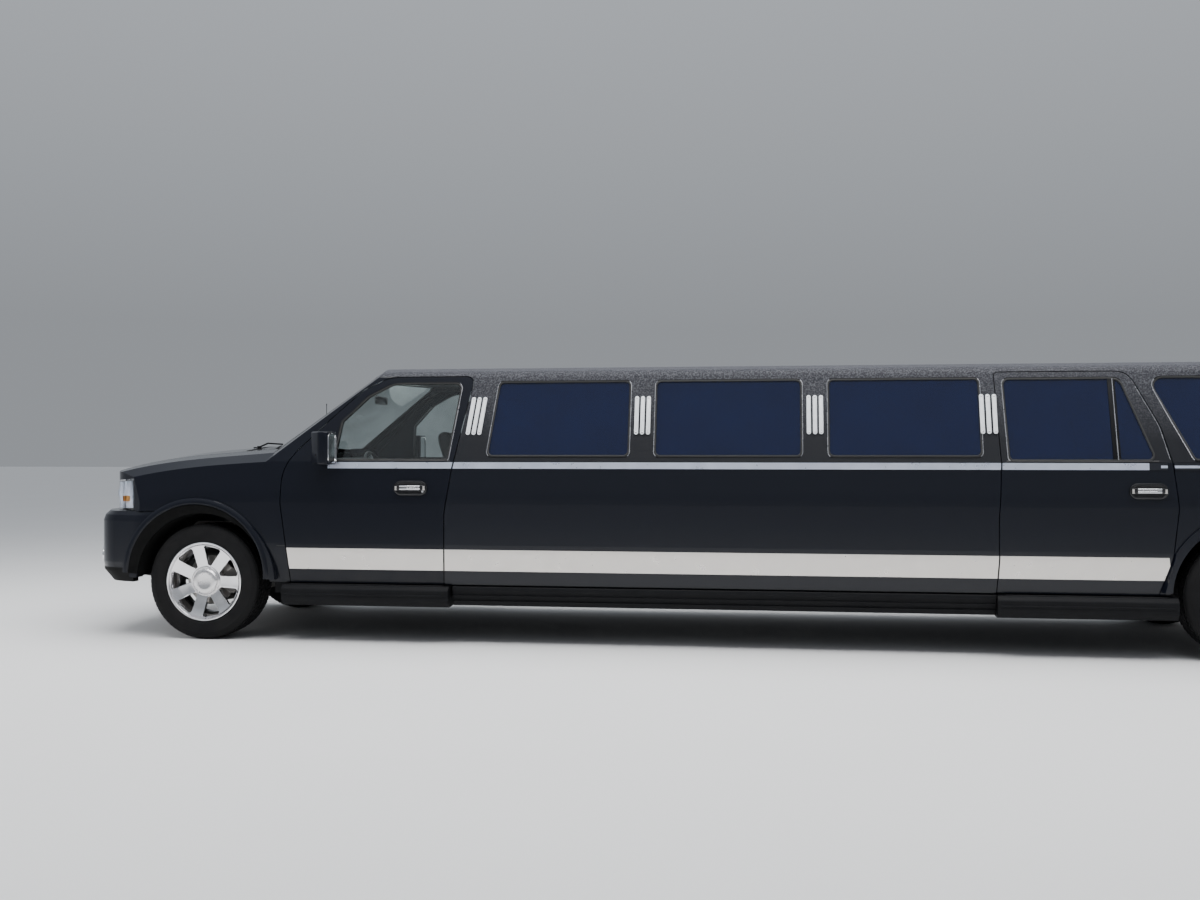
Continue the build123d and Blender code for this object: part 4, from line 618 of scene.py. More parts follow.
    @staticmethod
    def place(piece: Piece, name: str, turn: Point, location: Point) -> Piece:
        """Turns a piece about the origin, moves it and names it."""
        piece.rotation_euler = turn
        piece.location = location
        return Bench.done(piece, name, outwards=False)

    @staticmethod
    def block(name: str, low: Point, high: Point, bevel: float = 0.0, segments: int = 2) -> Piece:
        """Makes a box between two corners with rounded edges."""
        Bench.clear()
        centre = [(a + b) / 2 for a, b in zip(low, high)]
        bpy.ops.mesh.primitive_cube_add(size=1, location=centre)
        piece = bpy.context.object
        piece.scale = [abs(b - a) for a, b in zip(low, high)]
        bpy.ops.object.transform_apply(location=True, rotation=True, scale=True)
        if bevel:
            Bench.edit(piece)
            bpy.ops.mesh.bevel(offset=bevel, segments=segments, affect="EDGES")
        return Bench.done(piece, name, outwards=False)

    @staticmethod
    def modifier(piece: Piece, kind: str, **values: object) -> Piece:
        """Adds a modifier, sets its values and applies it."""
        Bench.only(piece)
        bpy.ops.object.modifier_add(type=kind)
        modifier = piece.modifiers[-1]
        for key, value in values.items():
            setattr(modifier, key, value)
        bpy.ops.object.modifier_apply(modifier=modifier.name)
        return piece

    @staticmethod
    def soften(piece: Piece, width: float, segments: int = 2, angle: float = 30.0) -> Piece:
        """Rounds the sharp edges of a piece."""
        return Bench.modifier(
            piece, "BEVEL", width=width, segments=segments, angle_limit=math.radians(angle),
            harden_normals=False,
        )

    @staticmethod
    def cut(piece: Piece, cutter: Piece) -> Piece:
        """Takes a cutter's space out of a piece and deletes the cutter."""
        Bench.modifier(piece, "BOOLEAN", operation="DIFFERENCE", object=cutter, solver="EXACT")
        Bench.delete(cutter)
        return piece

    @staticmethod
    def delete(*unwanted: Piece) -> None:
        """Deletes pieces."""
        for piece in unwanted:
            Bench.only(piece)
            bpy.ops.object.delete()

    @staticmethod
    def smooth(piece: Piece, angle: float = 35.0) -> Piece:
        """Shades a piece smooth across its gentle edges."""
        Bench.only(piece)
        bpy.ops.object.shade_smooth_by_angle(angle=math.radians(angle))
        return piece

    @staticmethod
    def join(name: str, pieces: Sequence[Piece]) -> Piece:
        """Joins pieces into one."""
        Bench.only(pieces[0])
        for piece in pieces:
            piece.select_set(True)
        bpy.ops.object.join()
        piece = bpy.context.object
        piece.name = name
        piece.data.name = name
        return piece

    @staticmethod
    def copy(piece: Piece, name: str, shift: Point = (0, 0, 0), mirrored: bool = False) -> Piece:
        """Copies a piece with its own mesh.

        Args:
            piece: What is copied.
            name: The copy's name.
            shift: How far the copy is moved.
            mirrored: Whether it is first flipped to the other side, across y 0.

        Returns:
            The copy, with its place in its mesh.
        """
        Bench.only(piece)
        bpy.ops.object.duplicate(linked=False)
        other = bpy.context.object
        if mirrored:
            bpy.ops.transform.resize(value=(1, -1, 1), center_override=(0, 0, 0))
            bpy.ops.object.transform_apply(location=True, rotation=True, scale=True)
            Bench.edit(other)
            bpy.ops.mesh.flip_normals()
            Bench.only(other)
        bpy.ops.transform.translate(value=shift)
        return Bench.done(other, name, outwards=False)


class Shop:
    """Holds the frame and the finishes, and fits finished pieces to the vehicle."""

    def __init__(self, frame: dict) -> None:
        """Keeps the frame and makes the finishes.
        """
        self.nodes: dict[str, Piece] = frame["nodes"]
        self.finishes = Finishes()

    def dress_node(self, node: str, finish: bpy.types.Material) -> None:
        """Gives a CAD node a finish."""
        mesh = self.nodes[node].data
        mesh.materials.clear()
        mesh.materials.append(finish)
        Bench.smooth(self.nodes[node], 28.0)
        LOG.info("dressed %s", node)

    @staticmethod
    def hit(target: Piece, start: Point, way: Point, proud: float) -> Point:
        """Returns where a ray meets a piece.

        Args:
            target: The piece.
            start: Where the ray starts.
            way: Its direction, of length 1.
            proud: How far before the surface the returned point lies.
        """
        found, place, _, _ = target.ray_cast(Vector(start), Vector(way))
        if not found:
            raise ValueError(f"no surface of {target.name} from {start} along {way}")
        return tuple(place - Vector(way) * proud)

    def touch(self, node: str, start: Point, way: Point, proud: float) -> Point:
        """Returns where a ray meets a CAD node, with the same arguments as hit."""
        return self.hit(self.nodes[node], start, way, proud)

    def row(
        self, node: str, x: float, low: float, high: float, z: float, proud: float = 0.0, steps: int = 20,
    ) -> list[Point]:
        """Returns a level row of points on a CAD node, seen from ahead or from behind.

        Args:
            node: The node.
            x: Where the rays start, past the node's near end.
            low: The y of the first point.
            high: The y of the last point.
            z: Height of the row.
            proud: How far before the surface the points lie.
            steps: Number of points, less one.
        """
        way = REARWARD if x > 0 else FORWARD
        return [
            self.touch(node, (x, low + (high - low) * i / steps, z), way, proud)
            for i in range(steps + 1)
        ]

    def inner_copy(self, node: str, name: str, inset: float) -> Piece:
        """Returns a piece with a CAD node's shape, drawn in on all sides.

        Args:
            node: The node.
            name: The new piece's name.
            inset: How far each face is moved inwards.
        """
        Bench.only(self.nodes[node])
        bpy.ops.object.duplicate(linked=False)
        piece = bpy.context.object
        bpy.ops.object.parent_clear(type="CLEAR_KEEP_TRANSFORM")
        for key in list(piece.keys()):
            del piece[key]
        Bench.edit(piece)
        bpy.ops.mesh.remove_doubles(threshold=1e-5)
        bpy.ops.transform.shrink_fatten(value=-inset, use_even_offset=True)
        return Bench.done(piece, name, outwards=False)

    def fit(
        self, piece: Piece, finish: bpy.types.Material, body: str = "body", stands_for: Iterable[str] = (),
        angle: float = 35.0, slot: str = "",
    ) -> Piece:
        """Finishes a new piece and fits it to a body.

        Args:
            piece: The piece, at its place.
            finish: Its material.
            body: The CAD body it moves with.
            stands_for: CAD nodes that it replaces.
            angle: Edges flatter than this many degrees are shaded smooth.
            slot: The record's material slot, where it isn't the finish's own; it is looked up but not used.

        Returns:
            The piece.
        """
        piece.data.materials.clear()
        piece.data.materials.append(finish)
        Bench.smooth(piece, angle)
        # A number follows the name where the frame has a material of the same name
        slot = slot or SLOT_OF[finish.name.split(".")[0]]
        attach(piece, body)
        if stands_for:
            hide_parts(*stands_for)
        LOG.info("fitted %s", piece.name)
        return piece


@dataclass
class BodyLines:
    """The main lines of the vehicle's side, which the CAD shares."""

    front_axle: float = 3.644
    rear_axle: float = -3.239
    axle_z: float = 0.40525
    track: float = 0.851
    belt_z: float = 1.245
    belt_half: float = 0.971
    rail_half: float = 0.783
    rail_z: float = 1.868

    def glass_side(self, z: float) -> float:
        """Returns the half width of the leaning side above the belt."""
        lean = (self.belt_half - self.rail_half) / (self.rail_z - self.belt_z)
        return self.belt_half - lean * (z - self.belt_z)


LINES = BodyLines()
# Place of each axle along the vehicle, by its end
AXLES = (("front", LINES.front_axle), ("rear", LINES.rear_axle))


def behind(distance: float) -> float:
    """Returns the x of a place behind the front axle."""
    return LINES.front_axle - distance


def ahead(distance: float) -> float:
    """Returns the x of a place ahead of the rear axle."""
    return LINES.rear_axle + distance


def rounded(corners: Sequence[Point], steps: int = 5) -> list[Flat]:
    """Returns a closed outline whose corners (a, b, radius) are rounded.

    Args:
        corners: Place and radius of each corner.
        steps: Points on each rounded corner, less one.

    Returns:
        The outline's points.
    """
    result: list[Flat] = []
    count = len(corners)
    for i, (a, b, radius) in enumerate(corners):
        here = Vector((a, b))
        if radius <= 0:
            result.append((a, b))
            continue
        before = (Vector(corners[i - 1][:2]) - here).normalized()
        after = (Vector(corners[(i + 1) % count][:2]) - here).normalized()
        half = before.angle(after) / 2
        reach = radius / math.tan(half)
        centre = here + (before + after).normalized() * (radius / math.sin(half))
        first = here + before * reach - centre
        last = here + after * reach - centre
        turn = first.angle_signed(last)
        start = math.atan2(first.y, first.x)
        for k in range(steps + 1):
            angle = start - turn * k / steps
            result.append((centre.x + radius * math.cos(angle), centre.y + radius * math.sin(angle)))
    return result


def side_path(outline: Sequence[Flat], proud: float, side: int = LEFT) -> list[Point]:
    """Returns an (x, z) outline laid on the leaning glass side, proud of it by a distance."""
    return [(x, side * (LINES.glass_side(z) + proud), z) for x, z in outline]


def windows() -> dict[str, list[Point]]:
    """Returns each side window as an (x, z, radius) outline, the same as the CAD's."""
    low = LINES.belt_z + 0.012
    result = {
        "front_door": [
            (behind(0.940), low, 0.025), (behind(0.975), 1.520, 0.030), (behind(1.150), 1.692, 0.120),
            (behind(1.330), 1.786, 0.200), (behind(1.815), 1.786, 0.045), (behind(1.748), low, 0.025),
        ],
        "rear_door": [
            (ahead(1.452), low, 0.030), (ahead(1.470), 1.786, 0.040), (ahead(0.745), 1.786, 0.070),
            (ahead(0.560), low, 0.035),
        ],
        "quarter": [
            (ahead(0.330), LINES.belt_z + 0.016, 0.035), (ahead(0.440), 1.5, 0.0),
            (ahead(0.578), 1.79, 0.060), (ahead(-0.560), 1.79, 0.070), (ahead(-0.700), 1.5, 0.300),
            (ahead(-0.740), LINES.belt_z + 0.016, 0.070),
        ],
    }
    start = behind(1.780) - 0.240
    for i in range(3):
        a = start - i * (0.965 + 0.175)
        lean = 0.060 if i == 0 else 0.0
        b = a - 0.965
        result[f"insert_{i + 1}"] = [
            (a, 1.283, 0.035), (a - lean, 1.79, 0.035), (b, 1.79, 0.035), (b, 1.283, 0.035),
        ]
    return result


WINDOW_BODIES = {"front_door": "door_front", "rear_door": "door_rear"}


@dataclass
class WindowTrim:
    """Seals and surrounds of the side windows: bright uprights, and dark tops and bottoms."""

    seal: float = 0.0075
    bead: float = 0.0034
    reach: float = 0.007

    def build(self, shop: Shop) -> None:
        """Fits the seal and the surround of each side window."""
        look = shop.finishes
        for name, corners in windows().items():
            outline = rounded(corners)
            middle = tuple(sum(point[k] for point in outline) / len(outline) for k in (0, 1))
            wide = [self.push(p, middle) for p in outline]
            bright, dark = self.runs(wide)
            seal = Bench.tube(f"seal_{name}_left", side_path(outline, -0.004), self.seal, closed=True)
            pieces = [(seal, look.rubber)]
            if name in WINDOW_BODIES:
                dark += bright[:1] if name == "front_door" else []
                bright = bright[1:] if name == "front_door" else bright[:1]
            for kind, runs, finish in (("bead", bright, look.bead), ("edge", dark, look.trim)):
                tubes = [Bench.tube(kind, side_path(run, 0.0005), self.bead) for run in runs]
                pieces.append((Bench.join(f"{kind}_{name}_left", tubes), finish))
            for piece, finish in pieces:
                body = WINDOW_BODIES.get(name)
                twin = Bench.copy(piece, piece.name.replace("_left", "_right"), mirrored=True)
                shop.fit(piece, finish, f"{body}_left" if body else "body")
                shop.fit(twin, finish, f"{body}_right" if body else "body")

    def push(self, point: Flat, middle: Flat) -> Flat:
        """Returns a point moved away from the middle along each axis."""
        return tuple(a + math.copysign(self.reach, a - b) for a, b in zip(point, middle))

    @staticmethod
    def runs(points: Sequence[Flat]) -> tuple[list, list]:
        """Splits a closed outline into its upright runs and its level runs, front one first."""
        count = len(points)
        upright = []
        for i, (a, b) in enumerate(points):
            c, d = points[(i + 1) % count]
            upright.append(abs(d - b) > 0.75 * abs(c - a))
        first = next(i for i in range(count) if upright[i] and not upright[i - 1])
        result: tuple[list, list] = ([], [])
        run = [points[first]]
        for k in range(count):
            i = (first + k) % count
            run.append(points[(i + 1) % count])
            if k == count - 1 or upright[(i + 1) % count] != upright[i]:
                result[0 if upright[i] else 1].append(run)
                run = [run[-1]]
        result[0].sort(key=lambda part: -part[0][0])
        return result


@dataclass
class RoadWheel:
    """A seven-spoke chrome wheel with a domed centre cap and its brake disc."""

    spokes: int = 7
    steps: int = 112

    def model(self) -> dict[str, Piece]:
        """Returns the pieces of the left wheel, centred on the origin with +Y outwards."""
        barrel = Bench.lathe("barrel", [
            (0.124, 0.262), (0.126, 0.268), (0.124, 0.274), (0.116, 0.276), (0.112, 0.272), (0.108, 0.257),
            (0.062, 0.254), (0.040, 0.236), (-0.060, 0.236), (-0.082, 0.254), (-0.110, 0.256),
            (-0.114, 0.272), (-0.122, 0.274), (-0.124, 0.262), (-0.100, 0.246), (-0.060, 0.224),
            (0.050, 0.226), (0.098, 0.246),
        ], self.steps, closed=True)
        face = Bench.lathe("face", [
            (0.050, 0.060), (0.052, 0.120), (0.070, 0.190), (0.086, 0.252), (0.116, 0.252), (0.113, 0.244),
            (0.104, 0.215), (0.100, 0.190), (0.097, 0.160), (0.092, 0.130), (0.087, 0.100), (0.087, 0.060),
        ], self.steps, closed=True)
        outline = rounded(
            [(0.112, -0.011, 0.010), (0.246, -0.070, 0.016), (0.246, 0.070, 0.016), (0.112, 0.011, 0.010)],
            4,
        )
        for i in range(self.spokes):
            angle = math.tau * i / self.spokes + math.radians(103.9)
            across, up = math.cos(angle), math.sin(angle)
            turned = [(a * across - b * up, a * up + b * across) for a, b in outline]
            Bench.cut(face, Bench.slab("opening", turned, 0.02, 0.13))
        Bench.soften(face, 0.006, 3, 40.0)
        cap = Bench.lathe("cap", [
            (0.080, 0.103), (0.092, 0.104), (0.098, 0.101), (0.100, 0.096), (0.0985, 0.092),
            (0.0985, 0.089), (0.107, 0.086), (0.112, 0.081), (0.1145, 0.072), (0.1155, 0.050),
            (0.1145, 0.047), (0.1150, 0.0), (0.07, 0.0),
        ], 64)
        disc = Bench.lathe("disc", [
            (-0.012, 0.100), (-0.012, 0.170), (-0.010, 0.172), (-0.003, 0.172), (-0.003, 0.166),
            (0.001, 0.166), (0.001, 0.172), (0.008, 0.172), (0.010, 0.170), (0.010, 0.100), (0.040, 0.098),
            (0.044, 0.090), (0.044, 0.058), (-0.005, 0.058), (-0.005, 0.092),
        ], 80, closed=True)
        stem = Bench.lathe(
            "stem",
            [(0.085, 0.0), (0.085, 0.006), (0.108, 0.0045), (0.110, 0.0058), (0.122, 0.0055), (0.124, 0.0)],
            12, (0, 0, -0.236),
        )
        return {"rim": Bench.join("rim", [barrel, face]), "cap": cap, "disc": disc, "stem": stem}

    def build(self, shop: Shop) -> None:
        """Fits a copy of the wheel at each corner."""
        model = self.model()
        look = shop.finishes
        looks = {"rim": look.wheel_chrome, "cap": look.wheel_cap, "disc": look.disc, "stem": look.rubber}
        for end, axle in AXLES:
            for side, label in SIDES:
                place = (axle, side * LINES.track, LINES.axle_z)
                for part, piece in model.items():
                    other = Bench.copy(piece, f"{part}_{end}_{label}", place, side == RIGHT)
                    stands = [f"{end}_wheel_{label}"] if part == "rim" else []
                    shop.fit(other, looks[part], f"wheel_{end}_{label}", stands)
        Bench.delete(*model.values())


@dataclass
class Tyre:
    """A road tyre with a ribbed tread and a detailed sidewall."""

    pitches: int = 72
    steps: int = 96
    radius: float = 0.40525
    groove: float = 0.008

    def model(self) -> Piece:
        """Returns the left tyre, centred on the origin with +Y outwards."""
        base = self.radius - self.groove
        half = [
            (0.1130, 0.2560), (0.1135, 0.2770), (0.1190, 0.2800), (0.1250, 0.2840), (0.1290, 0.2920),
            (0.1300, 0.2925), (0.1330, 0.3080), (0.1360, 0.3250), (0.1372, 0.3400), (0.1366, 0.3550),
            (0.1375, 0.3565), (0.1350, 0.3640), (0.1310, 0.3740), (0.1260, 0.3830), (0.1200, 0.3910),
            (0.1120, base - 0.001), (0.1000, base),
        ]
        profile = half + [(-a, r) for a, r in reversed(half)]
        carcass = Bench.lathe("carcass", profile, self.steps, closed=True)
        blocks = []
        turn = math.tau / self.pitches
        # Each lane's edges, its share of the pitch and its shift along it
        lanes = [
            (-0.019, 0.019, 1.0, 0.0), (0.028, 0.062, 0.82, 0.0), (-0.062, -0.028, 0.82, 0.5),
            (0.071, 0.110, 0.80, 0.25), (-0.110, -0.071, 0.80, 0.75),
        ]
        for low, high, share, shift in lanes:
            width = share * turn * self.radius / 2
            centre = shift * turn
            skew = 0.25 * width if abs(low) > 0.02 else 0.0
            outline = [(-width + skew, low), (width + skew, low), (width - skew, high), (-width - skew, high)]
            drop = (centre * self.radius + width) ** 2 / (2 * self.radius)
            points = [(x + centre * self.radius, y, base - 0.002 - drop) for x, y in outline]
            deep = self.groove + 0.0015 - (0.003 if abs(low) > 0.065 else 0.0)
            blocks.append(Bench.solid("tread_block", points, (0, 0, deep)))
        pattern = Bench.join("pattern", blocks)
        Bench.edit(pattern)
        bpy.ops.mesh.spin(steps=self.pitches, dupli=True, angle=math.tau, center=(0, 0, 0), axis=(0, 1, 0))
        bpy.ops.mesh.select_all(action="SELECT")
        bpy.ops.mesh.remove_doubles(threshold=1e-6)
        Bench.done(pattern, "pattern")
        return Bench.join("tyre", [carcass, pattern])

    def build(self, shop: Shop) -> None:
        """Fits a copy of the tyre at each corner."""
        model = self.model()
        for end, axle in AXLES:
            for side, label in SIDES:
                place = (axle, side * LINES.track, LINES.axle_z)
                other = Bench.copy(model, f"tyre_{end}_{label}", place, side == RIGHT)
                shop.fit(other, shop.finishes.tyre, f"wheel_{end}_{label}", [f"{end}_tyre_{label}"], 30.0)
        Bench.delete(model)


@dataclass
class BodyShell:
    """The CAD nodes that stay, with their finishes."""

    def build(self, shop: Shop) -> None:
        """Dresses every CAD node; what a modelled piece replaces later is dressed too."""
        look = shop.finishes
        single = (
            (look.frame, "chassis_frame", "tank_and_exhaust"), (look.carpet, "floor_pan"),
            (look.gloss_black, "cowl"), (look.vinyl, "roof"), (look.chrome, "grille"),
            (look.bumper, "front_bumper"), (look.paint, "rear_bumper", "bonnet", "liftgate"),
            (look.lens, "headlamps"), (look.red_lens, "tail_lamps"), (look.clear_glass, "windscreen"),
            (look.dark_glass, "side_windows", "liftgate_glass"), (look.strips, "side_trim"),
            (look.white, "opera_bars"), (look.leather, "front_seats", "lounge_seats"),
            (look.wood, "bar_and_partition"), (look.dash, "dashboard"),
            (look.iron, "powertrain", "front_suspension", "rear_suspension"),
        )
        paired = (
            (look.trim, "rocker"), (look.paint, "front_fender", "front_door"),
            (look.two_tone, "side_panel", "quarter_panel", "rear_door"),
            (look.clear_glass, "front_door_glass"), (look.dark_glass, "rear_door_glass"),
            (look.strips, "front_door_trim", "rear_door_trim"), (look.iron, "steering_knuckle"),
            (look.wheel_chrome, "front_wheel", "rear_wheel"), (look.tyre, "front_tyre", "rear_tyre"),
        )
        for finish, *nodes in single:
            for node in nodes:
                shop.dress_node(node, finish)
        for finish, *nodes in paired:
            for node in nodes:
                for _, label in SIDES:
                    shop.dress_node(f"{node}_{label}", finish)


def bar_places(pitch: float = 0.040) -> list[Flat]:
    """Returns the x and the lean of each opera bar, three to a pillar."""
    start = behind(1.780)
    groups = (
        (start - 0.152, 0.060), (start - 1.2925, 0.0), (start - 2.4325, 0.0), (ahead(1.516) + 0.051, 0.0),
    )
    return [(centre + i * pitch, lean) for centre, lean in groups for i in (-1, 0, 1)]


@dataclass
class SideDetail:
    """Division bars, weatherstrips, handles, bar screws and seams of the sides."""

    handle_z: float = 1.065
    handle_half: Flat = (0.116, 0.049)
    bright_half: float = 0.0715
    front_handle: float = 1.500
    rear_handle: float = 0.618
    bar_low: float = 1.427
    bar_top: float = 1.687

    def build(self, shop: Shop) -> None:
        """Fits the small pieces of both sides."""
        look = shop.finishes
        spans = (("front", behind(0.925), behind(1.765)), ("rear", ahead(1.470), ahead(0.548)))
        for side, label in SIDES:
            self.handle(shop, f"front_{label}", behind(self.front_handle), side)
            self.handle(shop, f"rear_{label}", ahead(self.rear_handle), side)
            shop.fit(self.division(f"division_{label}", side), look.trim, f"door_rear_{label}")
            line = side_path([(ahead(0.789), z) for z in (LINES.belt_z + 0.01, 1.788)], -0.0015, side)
            shop.fit(Bench.tube(f"division_line_{label}", line, 0.0042), look.bead, f"door_rear_{label}")
            self.door_edge(shop, side, label)
            self.spats(shop, side, label)
            y, z = side * (LINES.belt_half - 0.006), LINES.belt_z + 0.006
            for name, x0, x1 in spans:
                points = [(x0 + (x1 - x0) * i / 8, y, z) for i in range(9)]
                strip = Bench.tube(f"weatherstrip_{name}_{label}", points, 0.008)
                shop.fit(strip, look.rubber, f"door_{name}_{label}")
        self.screws(shop)
        self.fuel_door(shop)

    def handle(self, shop: Shop, name: str, x: float, side: int) -> None:
        """Makes an oval recessed bezel with a bright grip and a lock."""
        look, z = shop.finishes, self.handle_z
        half_x, half_z = self.handle_half
        oval = rounded([(x + a * half_x, z + b * half_z, half_z - 0.001) for a, b in CORNERS], 8)
        hole = rounded([(x + a * half_x * 0.84, z + b * half_z * 0.62, half_z * 0.6) for a, b in CORNERS], 8)
        bezel = Bench.slab(f"handle_bezel_{name}", oval, side * 0.985, side * 0.0245)
        Bench.cut(bezel, Bench.slab("recess", hole, side * 1.0045, side * 0.03))
        shop.fit(Bench.soften(bezel, 0.002, 3), look.gloss_black, f"door_{name}")
        outline = rounded([
            (x + 0.107, 0.996, 0.006), (x + 0.107, 1.020, 0.012), (x + 0.08, 1.027, 0.03),
            (x - 0.08, 1.027, 0.03), (x - 0.107, 1.020, 0.012), (x - 0.107, 0.996, 0.006),
            (x - 0.089, 0.996, 0.0), (x - 0.089, 1.012, 0.006), (x + 0.089, 1.012, 0.006),
            (x + 0.089, 0.996, 0.0),
        ], 4)
        grip = Bench.solid(
            f"handle_grip_{name}", [(a, side * b, z - 0.016) for a, b in outline], (0, 0, 0.038),
        )
        shop.fit(Bench.soften(grip, 0.006, 4), look.gloss_black, f"door_{name}")
        low, high = x - self.bright_half, x + self.bright_half
        bars = [
            Bench.block("bar", (low, side * 1.020, z + a), (high, side * 1.0288, z + b), 0.0028, 3)
            for a, b in ((-0.0115, 0.002), (0.0075, 0.0185))
        ]
        shop.fit(Bench.join(f"handle_bars_{name}", bars), look.chrome, f"door_{name}")
        if name.startswith("front"):
            profile = [
                (0.0, 0.0), (0.0, 0.0085), (0.005, 0.008), (0.006, 0.007), (0.006, 0.002), (0.004, 0.0),
            ]
            model = Bench.lathe("lock", profile, 24)
            lock = Bench.copy(model, f"door_lock_{name}", (x - 0.086, 1.0065, z - 0.022), side == RIGHT)
            shop.fit(lock, look.chrome, f"door_{name}")
            Bench.delete(model)

    @staticmethod
    def division(name: str, side: int) -> Piece:
        """Makes the upright bar that divides a rear door's window."""
        low, high = LINES.belt_z + 0.01, 1.788
        front, rear = ahead(0.818), ahead(0.772)
        outline = side_path([(rear, low), (rear, high), (front, high), (front, low)], -0.009, side)
        return Bench.soften(Bench.solid(name, outline, (0, side * 0.007, 0)), 0.002)

    @staticmethod
    def door_edge(shop: Shop, side: int, label: str) -> None:
        """Runs a bright bead up the rear door's sloping edge, above the belt."""
        points = []
        for i in range(10):
            z = 1.262 + 0.052 * i
            start = (-3.4, side * (LINES.glass_side(z) - 0.006), z)
            x = shop.touch(f"rear_door_{label}", start, FORWARD, 0.0)[0]
            points += side_path([(x + 0.0045, z)], 0.0005, side)
        shop.fit(Bench.tube(f"door_edge_{label}", points, 0.0028), shop.finishes.bead, f"door_rear_{label}")

    @staticmethod
    def spats(shop: Shop, side: int, label: str) -> None:
        """Marks the level seam of the panel between the front arch and the door."""
        starts = [(behind(0.545 + 0.015 * i), side * PAST_SIDE, 0.664) for i in range(5)]
        points = [shop.touch(f"front_fender_{label}", start, (0, -side, 0), 0.0004) for start in starts]
        shop.fit(Bench.tube(f"spat_seam_{label}", points, 0.0022), shop.finishes.rubber)

    def screws(self, shop: Shop) -> None:
        """Fits a domed screw at both ends of every opera bar."""
        model = Bench.lathe("screw", [(0.0, 0.0062), (0.0012, 0.006), (0.0026, 0.004), (0.003, 0.0)], 10)
        for side, label in SIDES:
            copies = []
            for x, back in bar_places():
                for z, lean in ((self.bar_low + 0.014, 0.21), (self.bar_top - 0.014, -0.21)):
                    place = (x + back * lean, side * (LINES.glass_side(z) + 0.0115), z)
                    copies.append(Bench.copy(model, "bar_screw", place, side == RIGHT))
            shop.fit(Bench.join(f"bar_screws_{label}", copies), shop.finishes.aluminium)
        Bench.delete(model)

    @staticmethod
    def fuel_door(shop: Shop) -> None:
        """Draws the fuel door's seam on the left rear quarter."""
        x, z = ahead(-0.86), 1.06
        outline = rounded([(x + a * 0.09, z + b * 0.08, 0.025) for a, b in CORNERS])
        points = [shop.touch("quarter_panel_left", (a, PAST_SIDE, b), (0, -1, 0), 0.0004) for a, b in outline]
        shop.fit(Bench.tube("fuel_door_seam", points, 0.0022, closed=True), shop.finishes.rubber)


@dataclass
class OperaBars:
    """Rounded white bars, three on each pillar between the side windows."""

    half: float = 0.0138
    low: float = 1.427
    top: float = 1.687
    rise: float = 0.0122
    share: float = 0.24

    def build(self, shop: Shop) -> None:
        """Fits the bars of both sides in place of the CAD's plain ones."""
        half, turn = self.half, self.half * 0.98
        for side, label in SIDES:
            bars = []
            for x, back in bar_places():
                a, b = x + back * self.share, x - back * self.share
                corners = (
                    (a - half, self.low), (a + half, self.low), (b + half, self.top), (b - half, self.top),
                )
                points = side_path(rounded([(*corner, turn) for corner in corners], 6), 0.0004, side)
                bars.append(Bench.soften(Bench.solid("bar", points, (0, side * self.rise, 0)), 0.005, 3))
            bars = Bench.join(f"opera_bars_{label}", bars)
            shop.fit(bars, shop.finishes.white, stands_for=["opera_bars"])


@dataclass
class ArchLip:
    """The front arches' raised lips with a matt black band inside them, laid on the fender as painted shade
    so the opening looks larger and deeper, and all four arches' linings.
    """

    forward: float = 0.045
    above: float = 0.041
    inner: float = 0.497
    outer: float = 0.545
    arch: float = 0.480
    steps: int = 40

    def arc(
        self, centre: Flat, radius: float, first: float, last: float,
    ) -> list[Flat]:
        """Returns the points of an arc in (x, z), with its angles in degrees from straight ahead."""
        angles = [math.radians(first + (last - first) * i / self.steps) for i in range(self.steps + 1)]
        return [(centre[0] + radius * math.cos(a), centre[1] + radius * math.sin(a)) for a in angles]

    def build(self, shop: Shop) -> None:
        """Fits the lips, the bands of painted shade and the linings."""
        look = shop.finishes
        hub = (LINES.front_axle, LINES.axle_z)
        centre = (hub[0] + self.forward, hub[1] + self.above)
        # Painted shade: a flat matt black band on the fender, between the CAD's arch and the lip, stands in
        # for the shadow inside a larger opening
        recess = self.arc(centre, self.inner + 0.004, 2.0, 148.0)
        recess += self.arc(hub, self.arch - 0.001, 152.0, 6.0)
        for side, label in SIDES:
            for (end, axle), wall in zip(AXLES, (0.52, 0.72)):
                hub = (axle, LINES.axle_z)
                outer, inner = self.arch - 0.0015, self.arch - 0.005
                band = self.arc(hub, outer, 4.0, 176.0) + self.arc(hub, inner, 176.0, 4.0)
                lining = Bench.slab(f"arch_lining_{end}_{label}", band, side * wall, side * (0.998 - wall))
                shop.fit(lining, look.liner)
            # The band of painted shade, laid over the fender
            shop.fit(Bench.slab(f"arch_recess_{label}", recess, side * 0.990, side * 0.0275), look.liner)
            shop.fit(self.lip(f"arch_lip_{label}", centre, side), look.paint)

    def lip(self, name: str, centre: Flat, side: int) -> Piece:
        """Makes the raised lip by turning its section about the arch's centre."""
        section = [
            (self.inner, 0.950), (self.inner, 1.0165), (self.inner + 0.005, 1.0225),
            (self.inner + 0.014, 1.0245), (self.inner + 0.030, 1.0215), (self.outer - 0.004, 1.0130),
            (self.outer, 1.0030), (self.outer, 0.950),
        ]
        first, last = math.radians(2.0), math.radians(181.5)
        points = [
            (centre[0] + r * math.cos(first), side * y, centre[1] + r * math.sin(first))
            for r, y in section
        ]
        piece = Bench.chain(points, closed=True)
        bpy.ops.mesh.edge_face_add()
        bpy.ops.mesh.spin(
            steps=self.steps * 2, angle=last - first, center=(centre[0], 0, centre[1]), axis=(0, 1, 0),
        )
        bpy.ops.mesh.select_all(action="SELECT")
        bpy.ops.mesh.remove_doubles(threshold=1e-5)
        return Bench.done(piece, name)


